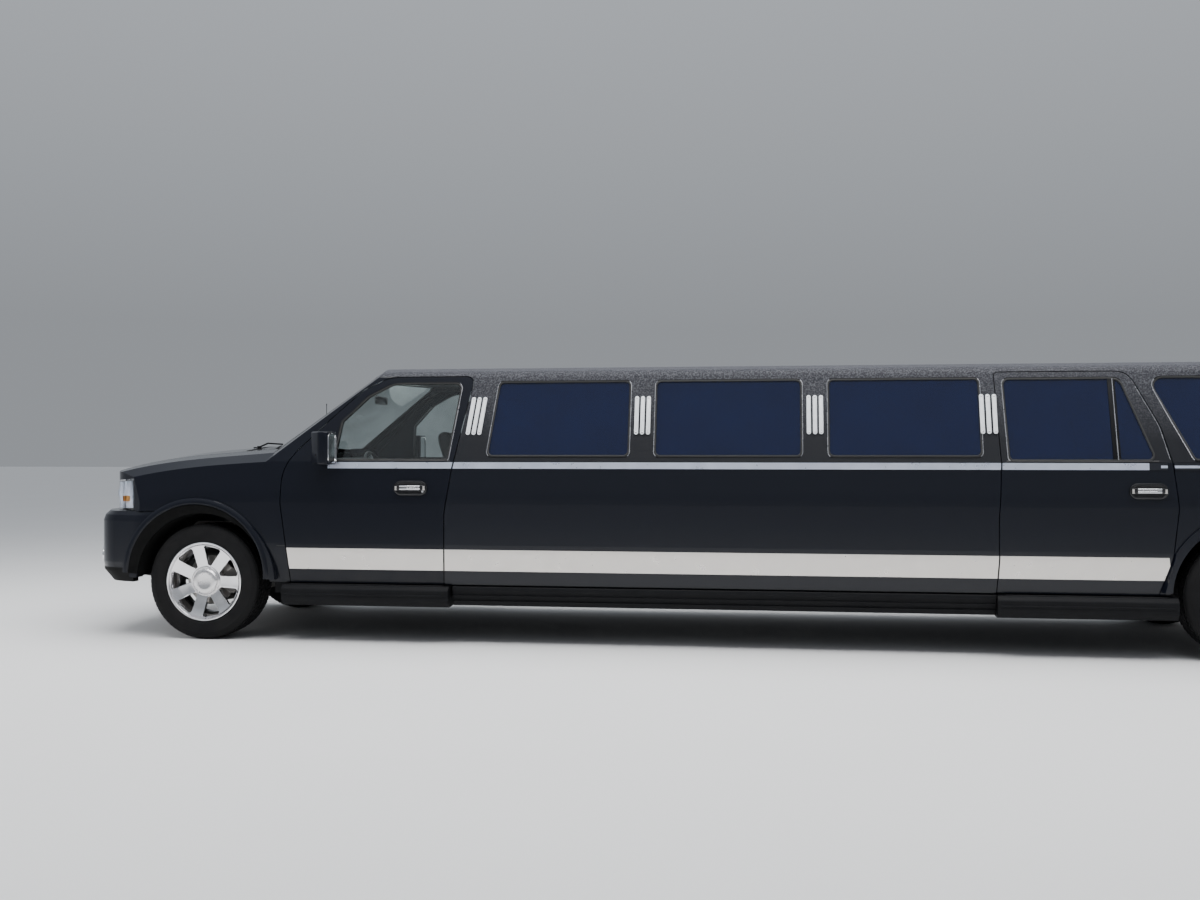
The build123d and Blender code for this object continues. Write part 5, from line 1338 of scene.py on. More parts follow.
@dataclass
class DoorMirror:
    """A rounded mirror housing on an arm, with its glass."""

    low: float = 1.226
    high: float = 1.449

    def build(self, shop: Shop) -> None:
        """Fits both mirrors."""
        plan = [
            (behind(0.978), 1.003, 0.012), (behind(0.978), 1.178, 0.022), (behind(0.915), 1.178, 0.055),
            (behind(0.828), 1.092, 0.05), (behind(0.828), 1.003, 0.012),
        ]
        look = shop.finishes
        arm = rounded([(behind(x), z, r) for x, z, r in (
            (0.945, 1.252, 0.012), (0.945, 1.306, 0.012), (0.842, 1.306, 0.02), (0.842, 1.252, 0.02)
        )])
        sail = rounded([(behind(x), z, r) for x, z, r in (
            (0.872, 1.262, 0.008), (0.962, 1.262, 0.008), (0.969, 1.36, 0.01)
        )], 3)
        for side, label in SIDES:
            body = f"door_front_{label}"
            outline = [(a, side * b, self.low) for a, b in rounded(plan, 6)]
            shell = Bench.solid(f"mirror_shell_{label}", outline, (0, 0, self.high - self.low))
            Bench.soften(shell, 0.029, 6, 50.0)
            corners = ((1.017, 1.242), (1.164, 1.242), (1.164, 1.433), (1.017, 1.433))
            face = rounded([(side * a, b, 0.03) for a, b in corners], 6)
            Bench.cut(shell, Bench.solid("pocket", [(behind(0.9735), a, b) for a, b in face], (-0.02, 0, 0)))
            shop.fit(shell, look.paint, body)
            inner = [(a + (side * 1.0905 - a) * 0.02, b + (1.3375 - b) * 0.02) for a, b in face]
            points = [(behind(0.9738), a, b) for a, b in inner]
            shop.fit(Bench.solid(f"mirror_glass_{label}", points, (-0.0015, 0, 0)), look.mirror, body)
            points = [(behind(0.9785), a, b) for a, b in face]
            shop.fit(Bench.tube(f"mirror_frame_{label}", points, 0.0035, closed=True), look.chrome, body)
            stem = Bench.slab(f"mirror_arm_{label}", arm, side * 0.945, side * 0.075)
            shop.fit(Bench.soften(stem, 0.006), look.gloss_black, body)
            corner = Bench.solid(f"mirror_sail_{label}", side_path(sail, -0.004, side), (0, side * 0.009, 0))
            shop.fit(Bench.soften(corner, 0.002), look.gloss_black, body)
            corners = ((1.06, 1.285), (1.15, 1.285), (1.15, 1.298), (1.06, 1.298))
            lamp = rounded([(side * a, b, 0.006) for a, b in corners], 3)
            hits = [shop.hit(shell, (behind(0.6), a, b), REARWARD, 0.0) for a, b in lamp]
            repeater = Bench.solid(
                f"mirror_lamp_{label}", [(x - 0.006, y, z) for x, y, z in hits], (0.0075, 0, 0),
            )
            shop.fit(repeater, look.amber, body)


@dataclass
class Glazing:
    """Gaskets and wipers of the windscreen and the liftgate glass, the cabin mirror and the air grille."""

    seal: float = 0.008
    wipers: tuple[Point, ...] = ((0.52, 0.02, 0.66), (-0.12, -0.56, 0.62))

    def build(self, shop: Shop) -> None:
        """Fits the glazing details."""
        self.screen(shop)
        self.gate(shop)
        for i, (pivot, inner, outer) in enumerate(self.wipers):
            self.wiper(shop, f"wiper_{i + 1}", pivot, inner, outer if i == 0 else -0.02)
        self.rear_wiper(shop)
        self.cowl(shop)

    def screen(self, shop: Shop) -> None:
        """Lays a gasket round the windscreen and a rear-view mirror behind it."""
        low = [(-0.862 + 1.724 * i / 16, 1.3045) for i in range(17)]
        right = [(0.866, 1.33), (0.858, 1.36), (0.79, 1.59), (0.727, 1.805), (0.705, 1.828), (0.67, 1.838)]
        top = [(0.55 - 1.1 * i / 12, 1.8395) for i in range(13)]
        outline = low + right + top + [(-a, b) for a, b in reversed(right)]
        points = [
            shop.touch("windscreen", (PAST_SCREEN, a * 0.993, min(b, 1.838)), REARWARD, 0.001)
            for a, b in outline
        ]
        shop.fit(Bench.tube("windscreen_gasket", points, self.seal, closed=True), shop.finishes.rubber)
        x = behind(0.98)
        glass = Bench.block("mirror_inside", (x, -0.12, 1.67), (x + 0.028, 0.12, 1.735), 0.012, 3)
        stem = Bench.tube(
            "mirror_stem", [(x + 0.02, 0, 1.70), (x + 0.06, 0, 1.745), (x + 0.085, 0, 1.752)], 0.007,
        )
        shop.fit(Bench.join("cabin_mirror", [glass, stem]), shop.finishes.gloss_black)

    @staticmethod
    def gate(shop: Shop) -> None:
        """Lays a gasket round the liftgate glass."""
        corners = [(-0.596, 1.294, 0.06), (0.596, 1.294, 0.06), (0.556, 1.741, 0.07), (-0.556, 1.741, 0.07)]
        points = [
            shop.touch("liftgate_glass", (PAST_TAIL, a * 0.994, 1.5 + (b - 1.5) * 0.994), FORWARD, 0.002)
            for a, b in rounded(corners, 6)
        ]
        shop.fit(Bench.tube("gate_gasket", points, 0.009, closed=True), shop.finishes.rubber, "liftgate")

    @staticmethod
    def wiper(shop: Shop, name: str, pivot: float, inner: float, outer: float) -> None:
        """Makes one wiper: an arm from its pivot and a blade that lies on the glass."""
        points = []
        for i in range(9):
            start = (PAST_SCREEN, inner + (outer - inner) * i / 8, 1.335 + 0.02 * math.sin(math.pi * i / 8))
            points.append(shop.touch("windscreen", start, REARWARD, 0.010))
        a, b, c = points[4]
        x, y, z = shop.touch("cowl", (behind(0.21), pivot, PAST_ROOF), DOWN, 0.012)
        bend = (x + (a - x) * 0.35, y + (b - y) * 0.35, z + (c - z) * 0.35 + 0.025)
        pieces = [
            Bench.tube("blade", points, 0.0055),
            Bench.tube("arm", [(x, y, z), bend, (a + 0.006, b, c + 0.012)], 0.0065),
            Bench.tube("cap", [(x, y, z - 0.016), (x, y, z + 0.008)], 0.016, smooth=3),
        ]
        shop.fit(Bench.join(name, pieces), shop.finishes.trim)

    @staticmethod
    def rear_wiper(shop: Shop) -> None:
        """Makes the liftgate's wiper."""
        points = []
        for i in range(7):
            start = (PAST_TAIL, -0.06 + 0.40 * i / 6, 1.345 + 0.012 * i / 6)
            points.append(shop.touch("liftgate_glass", start, FORWARD, 0.011))
        x, y, z = shop.touch("liftgate", (PAST_TAIL, 0.0, 1.262), FORWARD, 0.010)
        pieces = [
            Bench.tube("blade", points, 0.0055),
            Bench.tube("arm", [(x, y, z), (x - 0.004, y + 0.06, z + 0.05), points[3]], 0.0065),
            Bench.tube("cap", [(x + 0.012, y, z), (x - 0.008, y, z)], 0.018, smooth=3),
        ]
        shop.fit(Bench.join("rear_wiper", pieces), shop.finishes.trim, "liftgate")

    @staticmethod
    def cowl(shop: Shop) -> None:
        """Lays the slotted air grille and the washer nozzles ahead of the windscreen."""
        ribs = []
        for i in range(46):
            y = -0.675 + 1.35 * i / 45
            ends = [shop.touch("cowl", (behind(x), y, PAST_ROOF), DOWN, 0.0) for x in (0.184, 0.226)]
            ribs.append(Bench.tube("rib", ends, 0.0035))
        shop.fit(Bench.join("cowl_grille", ribs), shop.finishes.trim)
        for y, label in ((-0.33, "right"), (0.33, "left")):
            x, _, z = shop.touch("bonnet", (behind(0.10), y, PAST_ROOF), DOWN, 0.0)
            low, high = (x - 0.016, y - 0.014, z - 0.004), (x + 0.016, y + 0.014, z + 0.009)
            jet = Bench.block(f"washer_jet_{label}", low, high, 0.005, 3)
            shop.fit(jet, shop.finishes.gloss_black, "bonnet")


@dataclass
class FrontEnd:
    """The grille's slots, the lamps, the lower intake, the plate and the antenna."""

    slots: int = 6
    pitch: float = 0.02395
    first: float = 0.9383
    bowls: tuple[Point, ...] = ((0.60, 1.02, 0.052), (0.715, 1.015, 0.050), (0.655, 0.942, 0.030))

    def build(self, shop: Shop) -> None:
        """Fits the nose details."""
        self.grille(shop)
        self.lamps(shop)
        self.intake(shop)
        self.plate(shop)
        self.antenna(shop)

    @staticmethod
    def strip(
        shop: Shop, node: str, name: str, half: float, low: float, high: float, shifts: Flat,
    ) -> Piece:
        """Makes a level band that follows a node's front surface, between two shifts of its x."""
        hits = shop.row(node, PAST_NOSE, -half, half, (low + high) / 2, steps=24)
        return Bench.band(name, hits, shifts, low, high)

    def grille(self, shop: Shop) -> None:
        """Darkens the grille's slots and sets fine uprights in them."""
        dark, fins = [], []
        for i in range(self.slots):
            z = self.first + i * self.pitch
            half = 0.455 if 0 < i < self.slots - 1 else 0.44
            dark.append(self.strip(shop, "grille", "dark", half, z - 0.0078, z + 0.0078, (0.003, -0.004)))
            for k in range(19):
                y = -half + 2 * half * (k + 0.5) / 19
                x = shop.touch("grille", (PAST_NOSE, y, z), REARWARD, 0.0)[0]
                low, high = (x, y - 0.0012, z - 0.0079), (x + 0.006, y + 0.0012, z + 0.0079)
                fins.append(Bench.block("fin", low, high))
        shop.fit(Bench.join("grille_slots", dark), shop.finishes.liner)
        shop.fit(Bench.join("grille_fins", fins), shop.finishes.chrome)

    def lamps(self, shop: Shop) -> None:
        """Sets a bright housing, bowls, bulbs and an amber block behind each clear lens."""
        look = shop.finishes
        shop.fit(shop.inner_copy("headlamps", "headlamps_housing", 0.014), look.lamp_silver)
        shop.fit(shop.inner_copy("tail_lamps", "tail_lamps_housing", 0.013), look.lamp_white)
        bulb = [(-0.036, 0.008), (-0.012, 0.009), (-0.004, 0.006), (-0.002, 0.0)]
        for side, label in SIDES:
            bowls = []
            for y, z, r in self.bowls:
                x = shop.touch("headlamps", (PAST_NOSE, side * y, z), REARWARD, 0.0)[0]
                profile = [
                    (0.0, r), (0.003, r + 0.004), (0.003, r), (-0.004, r - 0.006),
                    (-0.02, r * 0.72), (-0.034, r * 0.35), (-0.036, 0.0),
                ]
                both = Bench.join("bowl", [Bench.lathe("bowl", profile, 32), Bench.lathe("bulb", bulb, 16)])
                bowls.append(Bench.place(both, "bowl", FACE_FRONT, (x - 0.012, side * y, z)))
            shop.fit(Bench.join(f"headlamp_bowls_{label}", bowls), look.chrome)
            x = LINES.front_axle + 0.605
            y = shop.touch("headlamps", (x, side * PAST_SIDE, 0.985), (0, -side, 0), 0.0)[1]
            low, high = (x - 0.050, y - side * 0.030, 0.960), (x + 0.032, y + side * 0.0015, 1.000)
            shop.fit(Bench.block(f"headlamp_amber_{label}", low, high, 0.006), look.amber)

    def intake(self, shop: Shop) -> None:
        """Lays the lower intake's mesh and bright bars, and the round fog lamps."""
        look = shop.finishes
        mesh = self.strip(shop, "front_bumper", "intake_mesh", 0.42, 0.700, 0.790, (0.003, -0.012))
        shop.fit(mesh, look.trim)
        bars = [
            self.strip(shop, "front_bumper", "bar", 0.425, z - 0.004, z + 0.004, (0.010, -0.01))
            for z in (0.696, 0.728, 0.762, 0.794)
        ]
        shop.fit(Bench.soften(Bench.join("intake_bars", bars), 0.0015), look.chrome)
        ring = [
            (-0.012, 0.060), (0.006, 0.062), (0.011, 0.058), (0.009, 0.050), (0.002, 0.047), (-0.012, 0.046),
        ]
        lens = [(0.003, 0.048), (0.006, 0.036), (0.008, 0.018), (0.0085, 0.0), (0.002, 0.0), (0.001, 0.046)]
        back = [(-0.012, 0.050), (-0.008, 0.050), (-0.010, 0.020), (-0.011, 0.0)]
        parts = (
            ("fog_ring", ring, 40, look.chrome), ("fog_lens", lens, 32, look.lens),
            ("fog_back", back, 24, look.aluminium),
        )
        for side, label in SIDES:
            place = shop.touch("front_bumper", (PAST_NOSE, side * 0.70, 0.56), REARWARD, 0.0)
            turn = (0, 0, math.radians(side * 24 - 90))
            for name, profile, steps, finish in parts:
                piece = Bench.lathe(name, profile, steps, closed=profile is not back)
                shop.fit(Bench.place(piece, f"{name}_{label}", turn, place), finish)

    @staticmethod
    def plate(shop: Shop) -> None:
        """Fits a blank plate with two bolts on the nose, and another on the liftgate."""
        look = shop.finishes
        bolt = [(0.0, 0.0085), (0.003, 0.0085), (0.005, 0.006), (0.0055, 0.0)]
        ends = (("front", 4.606, 0.600, 1, "body"), ("rear", -4.5662, 0.960, -1, "liftgate"))
        for name, x, z, way, body in ends:
            outline = rounded([(a * 0.1525, z + b * 0.0762, 0.012) for a, b in CORNERS])
            points = [(x, a * 1.02, z + (b - z) * 1.04) for a, b in outline]
            back = Bench.solid(f"plate_bracket_{name}", points, (way * 0.010, 0, 0))
            shop.fit(Bench.soften(back, 0.002), look.trim, body)
            points = [(x + way * 0.010, a, b) for a, b in outline]
            plate = Bench.solid(f"plate_{name}", points, (way * 0.002, 0, 0))
            points = [(x + way * 0.0122, a * 0.975, z + (b - z) * 0.95) for a, b in outline]
            rim = Bench.tube("rim", points, 0.0016, closed=True)
            shop.fit(Bench.join(f"plate_{name}", [plate, rim]), look.white, body)
            turn = (0, 0, -math.pi / 2 * way)
            bolts = [
                Bench.place(Bench.lathe("bolt", bolt, 16), "bolt", turn, (x + way * 0.012, y, z))
                for y in (-0.0889, 0.0889)
            ]
            shop.fit(Bench.join(f"plate_bolts_{name}", bolts), look.aluminium, body)

    @staticmethod
    def antenna(shop: Shop) -> None:
        """Stands a thin mast on the right fender."""
        x, y, z = shop.touch("front_fender_right", (behind(0.218), -0.82, PAST_ROOF), DOWN, 0.0)
        parts = ((-0.006, 0.012, 0.014, 3), (0.01, 0.41, 0.0026, 1), (0.405, 0.416, 0.004, 2))
        pieces = [
            Bench.tube("mast", [(x, y, z + low), (x, y, z + high)], radius, smooth=smooth)
            for low, high, radius, smooth in parts
        ]
        shop.fit(Bench.join("antenna", pieces), shop.finishes.trim)


@dataclass
class TailEnd:
    """The liftgate's bar, grip, lamps and lip, the bumper's step pad and the tail lamps' bars."""

    def build(self, shop: Shop) -> None:
        """Fits the tail details."""
        look = shop.finishes
        hits = shop.row("liftgate", PAST_TAIL, -0.40, 0.40, 1.105)
        bar = Bench.band("gate_bar", hits, (-0.014, 0.01), 1.082, 1.128)
        shop.fit(Bench.soften(bar, 0.005, 3, 50.0), look.chrome, "liftgate")
        x = hits[10][0]
        grip = Bench.block("gate_grip", (x - 0.016, -0.075, 1.070), (x + 0.005, 0.075, 1.083), 0.004)
        shop.fit(grip, look.gloss_black, "liftgate")
        for side, label in SIDES:
            low, high = (-4.5775, side * 0.10 - 0.03, 1.038), (-4.5635, side * 0.10 + 0.03, 1.0495)
            shop.fit(Bench.block(f"plate_lamp_{label}", low, high, 0.003), look.lens, "liftgate")
        self.lip(shop)
        self.step(shop)
        self.dividers(shop)

    @staticmethod
    def lip(shop: Shop) -> None:
        """Adds a rounded lip with a high brake lamp at the liftgate's top edge."""
        hits = shop.row("liftgate", PAST_TAIL, -0.66, 0.66, 1.835)
        lip = Bench.soften(Bench.band("gate_lip", hits, (-0.035, 0.012), 1.818, 1.852), 0.011, 4)
        shop.fit(lip, shop.finishes.paint, "liftgate")
        lamp = Bench.band("high_brake_lamp", hits[6:15], (-0.0385, -0.02), 1.825, 1.845)
        shop.fit(Bench.soften(lamp, 0.002), shop.finishes.red_lens, "liftgate")

    @staticmethod
    def step(shop: Shop) -> None:
        """Lays a ribbed pad and reflectors on the rear bumper."""
        look = shop.finishes
        hits = shop.row("rear_bumper", PAST_TAIL, -0.62, 0.62, 0.72)
        pad = Bench.band("bumper_pad", hits, (0.020, 0.072), 0.787, 0.793)
        shop.fit(Bench.soften(pad, 0.002), look.trim)
        ribs = [
            Bench.tube("rib", [(x + shift, y, 0.7935) for x, y, _ in hits], 0.002)
            for shift in (0.030, 0.038, 0.046, 0.054, 0.062)
        ]
        shop.fit(Bench.join("bumper_ribs", ribs), look.trim)
        for side, label in SIDES:
            near = shop.row("rear_bumper", PAST_TAIL, side * 0.62, side * 0.76, 0.60, steps=6)
            shop.fit(Bench.band(f"reflector_{label}", near, (-0.004, 0.006), 0.578, 0.623), look.red_lens)

    @staticmethod
    def dividers(shop: Shop) -> None:
        """Lays bright bars across the tail lamps."""
        for side, label in SIDES:
            bars = []
            for z in (1.012, 1.090, 1.168):
                points = shop.row("tail_lamps", PAST_TAIL, side * 0.762, side * 0.912, z, 0.001, 8)
                bars.append(Bench.tube("bar", points, 0.0038))
            shop.fit(Bench.join(f"tail_lamp_bars_{label}", bars), shop.finishes.chrome)


@dataclass(frozen=True)
class Pad:
    """A stuffed leather pad: a smaller block that swells under pressure and is sewn afterwards."""

    name: str
    size: Point
    voxel: float = 0.014
    cap: float = 0.024
    fill: float = 0.75
    channels: tuple[float, ...] = ()
    across: int = 0
    channel_depth: float = 0.007
    round_off: float = 0.022

    def make(self) -> Piece:
        """Returns the pad, centred on the origin, with its crowned face up."""
        half = [s / 2 for s in self.size]
        piece = Bench.block(self.name, tuple(-h for h in half), tuple(half), self.round_off, 4)
        Bench.modifier(piece, "REMESH", mode="VOXEL", voxel_size=self.voxel)
        self.swell(piece)
        Bench.modifier(piece, "SUBSURF", levels=1)
        self.sew(piece)
        return Bench.done(piece, self.name)

    def swell(self, piece: Piece) -> None:
        """Blows the pad up with a short cloth simulation and limits how far each point moves."""
        start = [v.co.copy() for v in piece.data.vertices]
        Bench.only(piece)
        bpy.ops.object.modifier_add(type="CLOTH")
        cloth = piece.modifiers[-1]
        cloth.settings.use_pressure = True
        cloth.settings.uniform_pressure_force = 4.0
        cloth.settings.effector_weights.gravity = 0.0
        cloth.settings.quality = 4
        cloth.settings.mass = 0.3
        cloth.settings.tension_stiffness = 12.0
        cloth.settings.compression_stiffness = 12.0
        cloth.settings.bending_stiffness = 1.5
        cloth.point_cache.frame_start = 1
        cloth.point_cache.frame_end = 20
        for frame in range(1, 21):
            bpy.context.scene.frame_set(frame)
        bpy.ops.object.modifier_apply(modifier=cloth.name)
        bpy.context.scene.frame_set(1)
        for vertex, first in zip(piece.data.vertices, start):
            step = vertex.co - first
            if step.length > self.cap:
                vertex.co = first + step * (self.cap / step.length)

    def sew(self, piece: Piece) -> None:
        """Presses the sewn channels into the upper face and draws the sides in between the corners."""
        wide = 0.012
        half = [s / 2 for s in self.size]
        for vertex in piece.data.vertices:
            co = vertex.co
            top = max(0.0, min(1.0, (co.z / half[2] + 0.2) * 1.4))
            press = 0.0
            place = co[self.across]
            for line in self.channels:
                press = max(press, math.exp(-((place - line * half[self.across]) / wide) ** 2))
            edge = max(abs(co.x) / half[0], abs(co.y) / half[1])
            rim = math.exp(-((edge - 0.93) / 0.035) ** 2)
            co.z -= top * (press * self.channel_depth + 0.45 * rim * self.channel_depth)
            co.x *= 1 - 0.012 * (1 - (co.y / half[1]) ** 2)
            co.y *= 1 - 0.012 * (1 - (co.x / half[0]) ** 2)


@dataclass
class PadPlace:
    """Where one copy of a pad goes: which pad, its name, its turn and its place."""

    pad: str
    name: str
    turn: Point
    place: Point


@dataclass
class Seats:
    """The front seats and the lounge's benches, as pads on upholstered bases."""

    seat_y: float = 0.42

    @staticmethod
    def pads() -> dict[str, Pad]:
        """Returns the pads that are made once each."""
        front = (-0.66, -0.33, 0.0, 0.33, 0.66)
        bench = (-0.75, -0.5, -0.25, 0.0, 0.25, 0.5, 0.75)
        rear = (-0.6, -0.3, 0.0, 0.3, 0.6)
        pads = (
            Pad("front_cushion", (0.49, 0.475, 0.088), 0.012, 0.020, 0.8, front, 0),
            Pad("front_back", (0.60, 0.455, 0.078), 0.012, 0.020, 0.8, front, 0),
            Pad("front_head", (0.135, 0.225, 0.058), 0.010, 0.014, 0.9),
            Pad("bench_cushion", (0.735, 0.36, 0.105), 0.016, 0.022, 0.75, bench, 0),
            Pad("bench_back", (0.735, 0.215, 0.060), 0.014, 0.016, 0.8, bench, 0),
            Pad("rear_cushion", (0.44, 0.615, 0.105), 0.016, 0.022, 0.75, rear, 1),
            Pad("rear_back", (0.45, 0.615, 0.080), 0.016, 0.020, 0.8, rear, 1),
        )
        return {pad.name: pad for pad in pads}

    def places(self) -> list[PadPlace]:
        """Returns where every pad goes."""
        spots = (
            ("front_cushion", -2.2, behind(1.375), self.seat_y, 0.836),
            ("front_back", -75.1, behind(1.694), self.seat_y, 1.178),
            ("front_head", -84.0, behind(1.785), self.seat_y, 1.605),
            ("rear_cushion", -3.0, ahead(0.262), 0.335, 0.905),
            ("rear_back", -78.7, ahead(-0.085), 0.335, 1.195),
        )
        result = []
        for side, label in SIDES:
            for pad, lean, x, y, z in spots:
                turn = (0, math.radians(lean), 0)
                result.append(PadPlace(pad, f"{pad}_{label}", turn, (x, side * y, z)))
        for i in range(4):
            x = 1.499 - 0.386 - i * 0.773
            result.append(PadPlace("bench_cushion", f"bench_cushion_{i + 1}", (0, 0, 0), (x, -0.535, 0.876)))
            lean = (math.radians(-73), 0, 0)
            result.append(PadPlace("bench_back", f"bench_back_{i + 1}", lean, (x, -0.795, 1.073)))
        return result

    def build(self, shop: Shop) -> None:
        """Makes the bases and pads, and lets them stand for the CAD's plain seats."""
        kinds = self.pads()
        models = {name: pad.make() for name, pad in kinds.items()}
        for spot in self.places():
            piece = Bench.place(Bench.copy(models[spot.pad], spot.name), spot.name, spot.turn, spot.place)
            node = "front_seats" if spot.pad.startswith("front") else "lounge_seats"
            shop.fit(piece, shop.finishes.leather, stands_for=[node], angle=60.0)
        Bench.delete(*models.values())
        self.fronts(shop)
        self.benches(shop)

    def fronts(self, shop: Shop) -> None:
        """Makes the bases, shells, head posts and rails of the front seats."""
        look = shop.finishes
        foot = rounded([
            (behind(1.16), 0.566, 0.0), (behind(1.13), 0.782, 0.03),
            (behind(1.66), 0.772, 0.03), (behind(1.60), 0.566, 0.0),
        ])
        shell = rounded([
            (behind(1.655), 0.80, 0.02), (behind(1.775), 1.24, 0.1), (behind(1.822), 1.475, 0.02),
            (behind(1.795), 1.485, 0.012), (behind(1.735), 1.22, 0.1), (behind(1.615), 0.80, 0.02),
        ], 4)
        x, rear, front = behind(1.784), behind(1.64), behind(1.13)
        for side, label in SIDES:
            y = side * self.seat_y
            base = Bench.slab(f"front_seat_base_{label}", foot, y - 0.2, 0.4)
            shop.fit(Bench.soften(base, 0.012, 3), look.trim)
            back = Bench.slab(f"front_seat_shell_{label}", shell, y - 0.225, 0.45)
            shop.fit(Bench.soften(back, 0.014, 3), look.leather)
            posts, rails = [], []
            for b in (y - 0.06, y + 0.06):
                posts.append(Bench.tube("post", [(x, b, 1.46), (x, b, 1.58)], 0.006, smooth=3))
            shop.fit(Bench.join(f"head_posts_{label}", posts), look.chrome)
            for b in (y - 0.17, y + 0.17):
                rails.append(Bench.block("rail", (rear, b - 0.018, 0.5652), (front, b + 0.018, 0.585), 0.004))
            shop.fit(Bench.join(f"seat_rails_{label}", rails), look.aluminium)

    @staticmethod
    def benches(shop: Shop) -> None:
        """Makes the upholstered bases of the side bench and the rear bench."""
        look = shop.finishes
        side = rounded([
            (-0.799, 0.5655, 0.0), (-0.799, 0.81, 0.0), (-0.872, 0.81, 0.0), (-0.872, 1.185, 0.02),
            (-0.826, 1.185, 0.02), (-0.775, 0.96, 0.0), (-0.745, 0.818, 0.0), (-0.345, 0.818, 0.02),
            (-0.372, 0.79, 0.02), (-0.372, 0.5655, 0.0),
        ], 4)
        piece = Bench.solid("bench_base", [(-1.592, a, b) for a, b in side], (3.090, 0, 0))
        shop.fit(Bench.soften(piece, 0.006, 2, 50.0), look.leather, stands_for=["lounge_seats"])
        kick = Bench.block("bench_kick_plate", (-1.58, -0.3715, 0.570), (1.487, -0.369, 0.625), 0.001)
        shop.fit(kick, look.aluminium)
        rear = rounded([
            (ahead(0.428), 0.671, 0.0), (ahead(0.428), 0.82, 0.02), (ahead(0.455), 0.846, 0.02),
            (ahead(0.03), 0.842, 0.0), (ahead(-0.10), 1.44, 0.02), (ahead(-0.195), 1.445, 0.03),
            (ahead(-0.13), 0.83, 0.03), (ahead(-0.112), 0.671, 0.0),
        ], 4)
        piece = Bench.slab("rear_bench_base", rear, -0.668, 1.336)
        shop.fit(Bench.soften(piece, 0.008, 3, 50.0), look.leather, stands_for=["lounge_seats"])


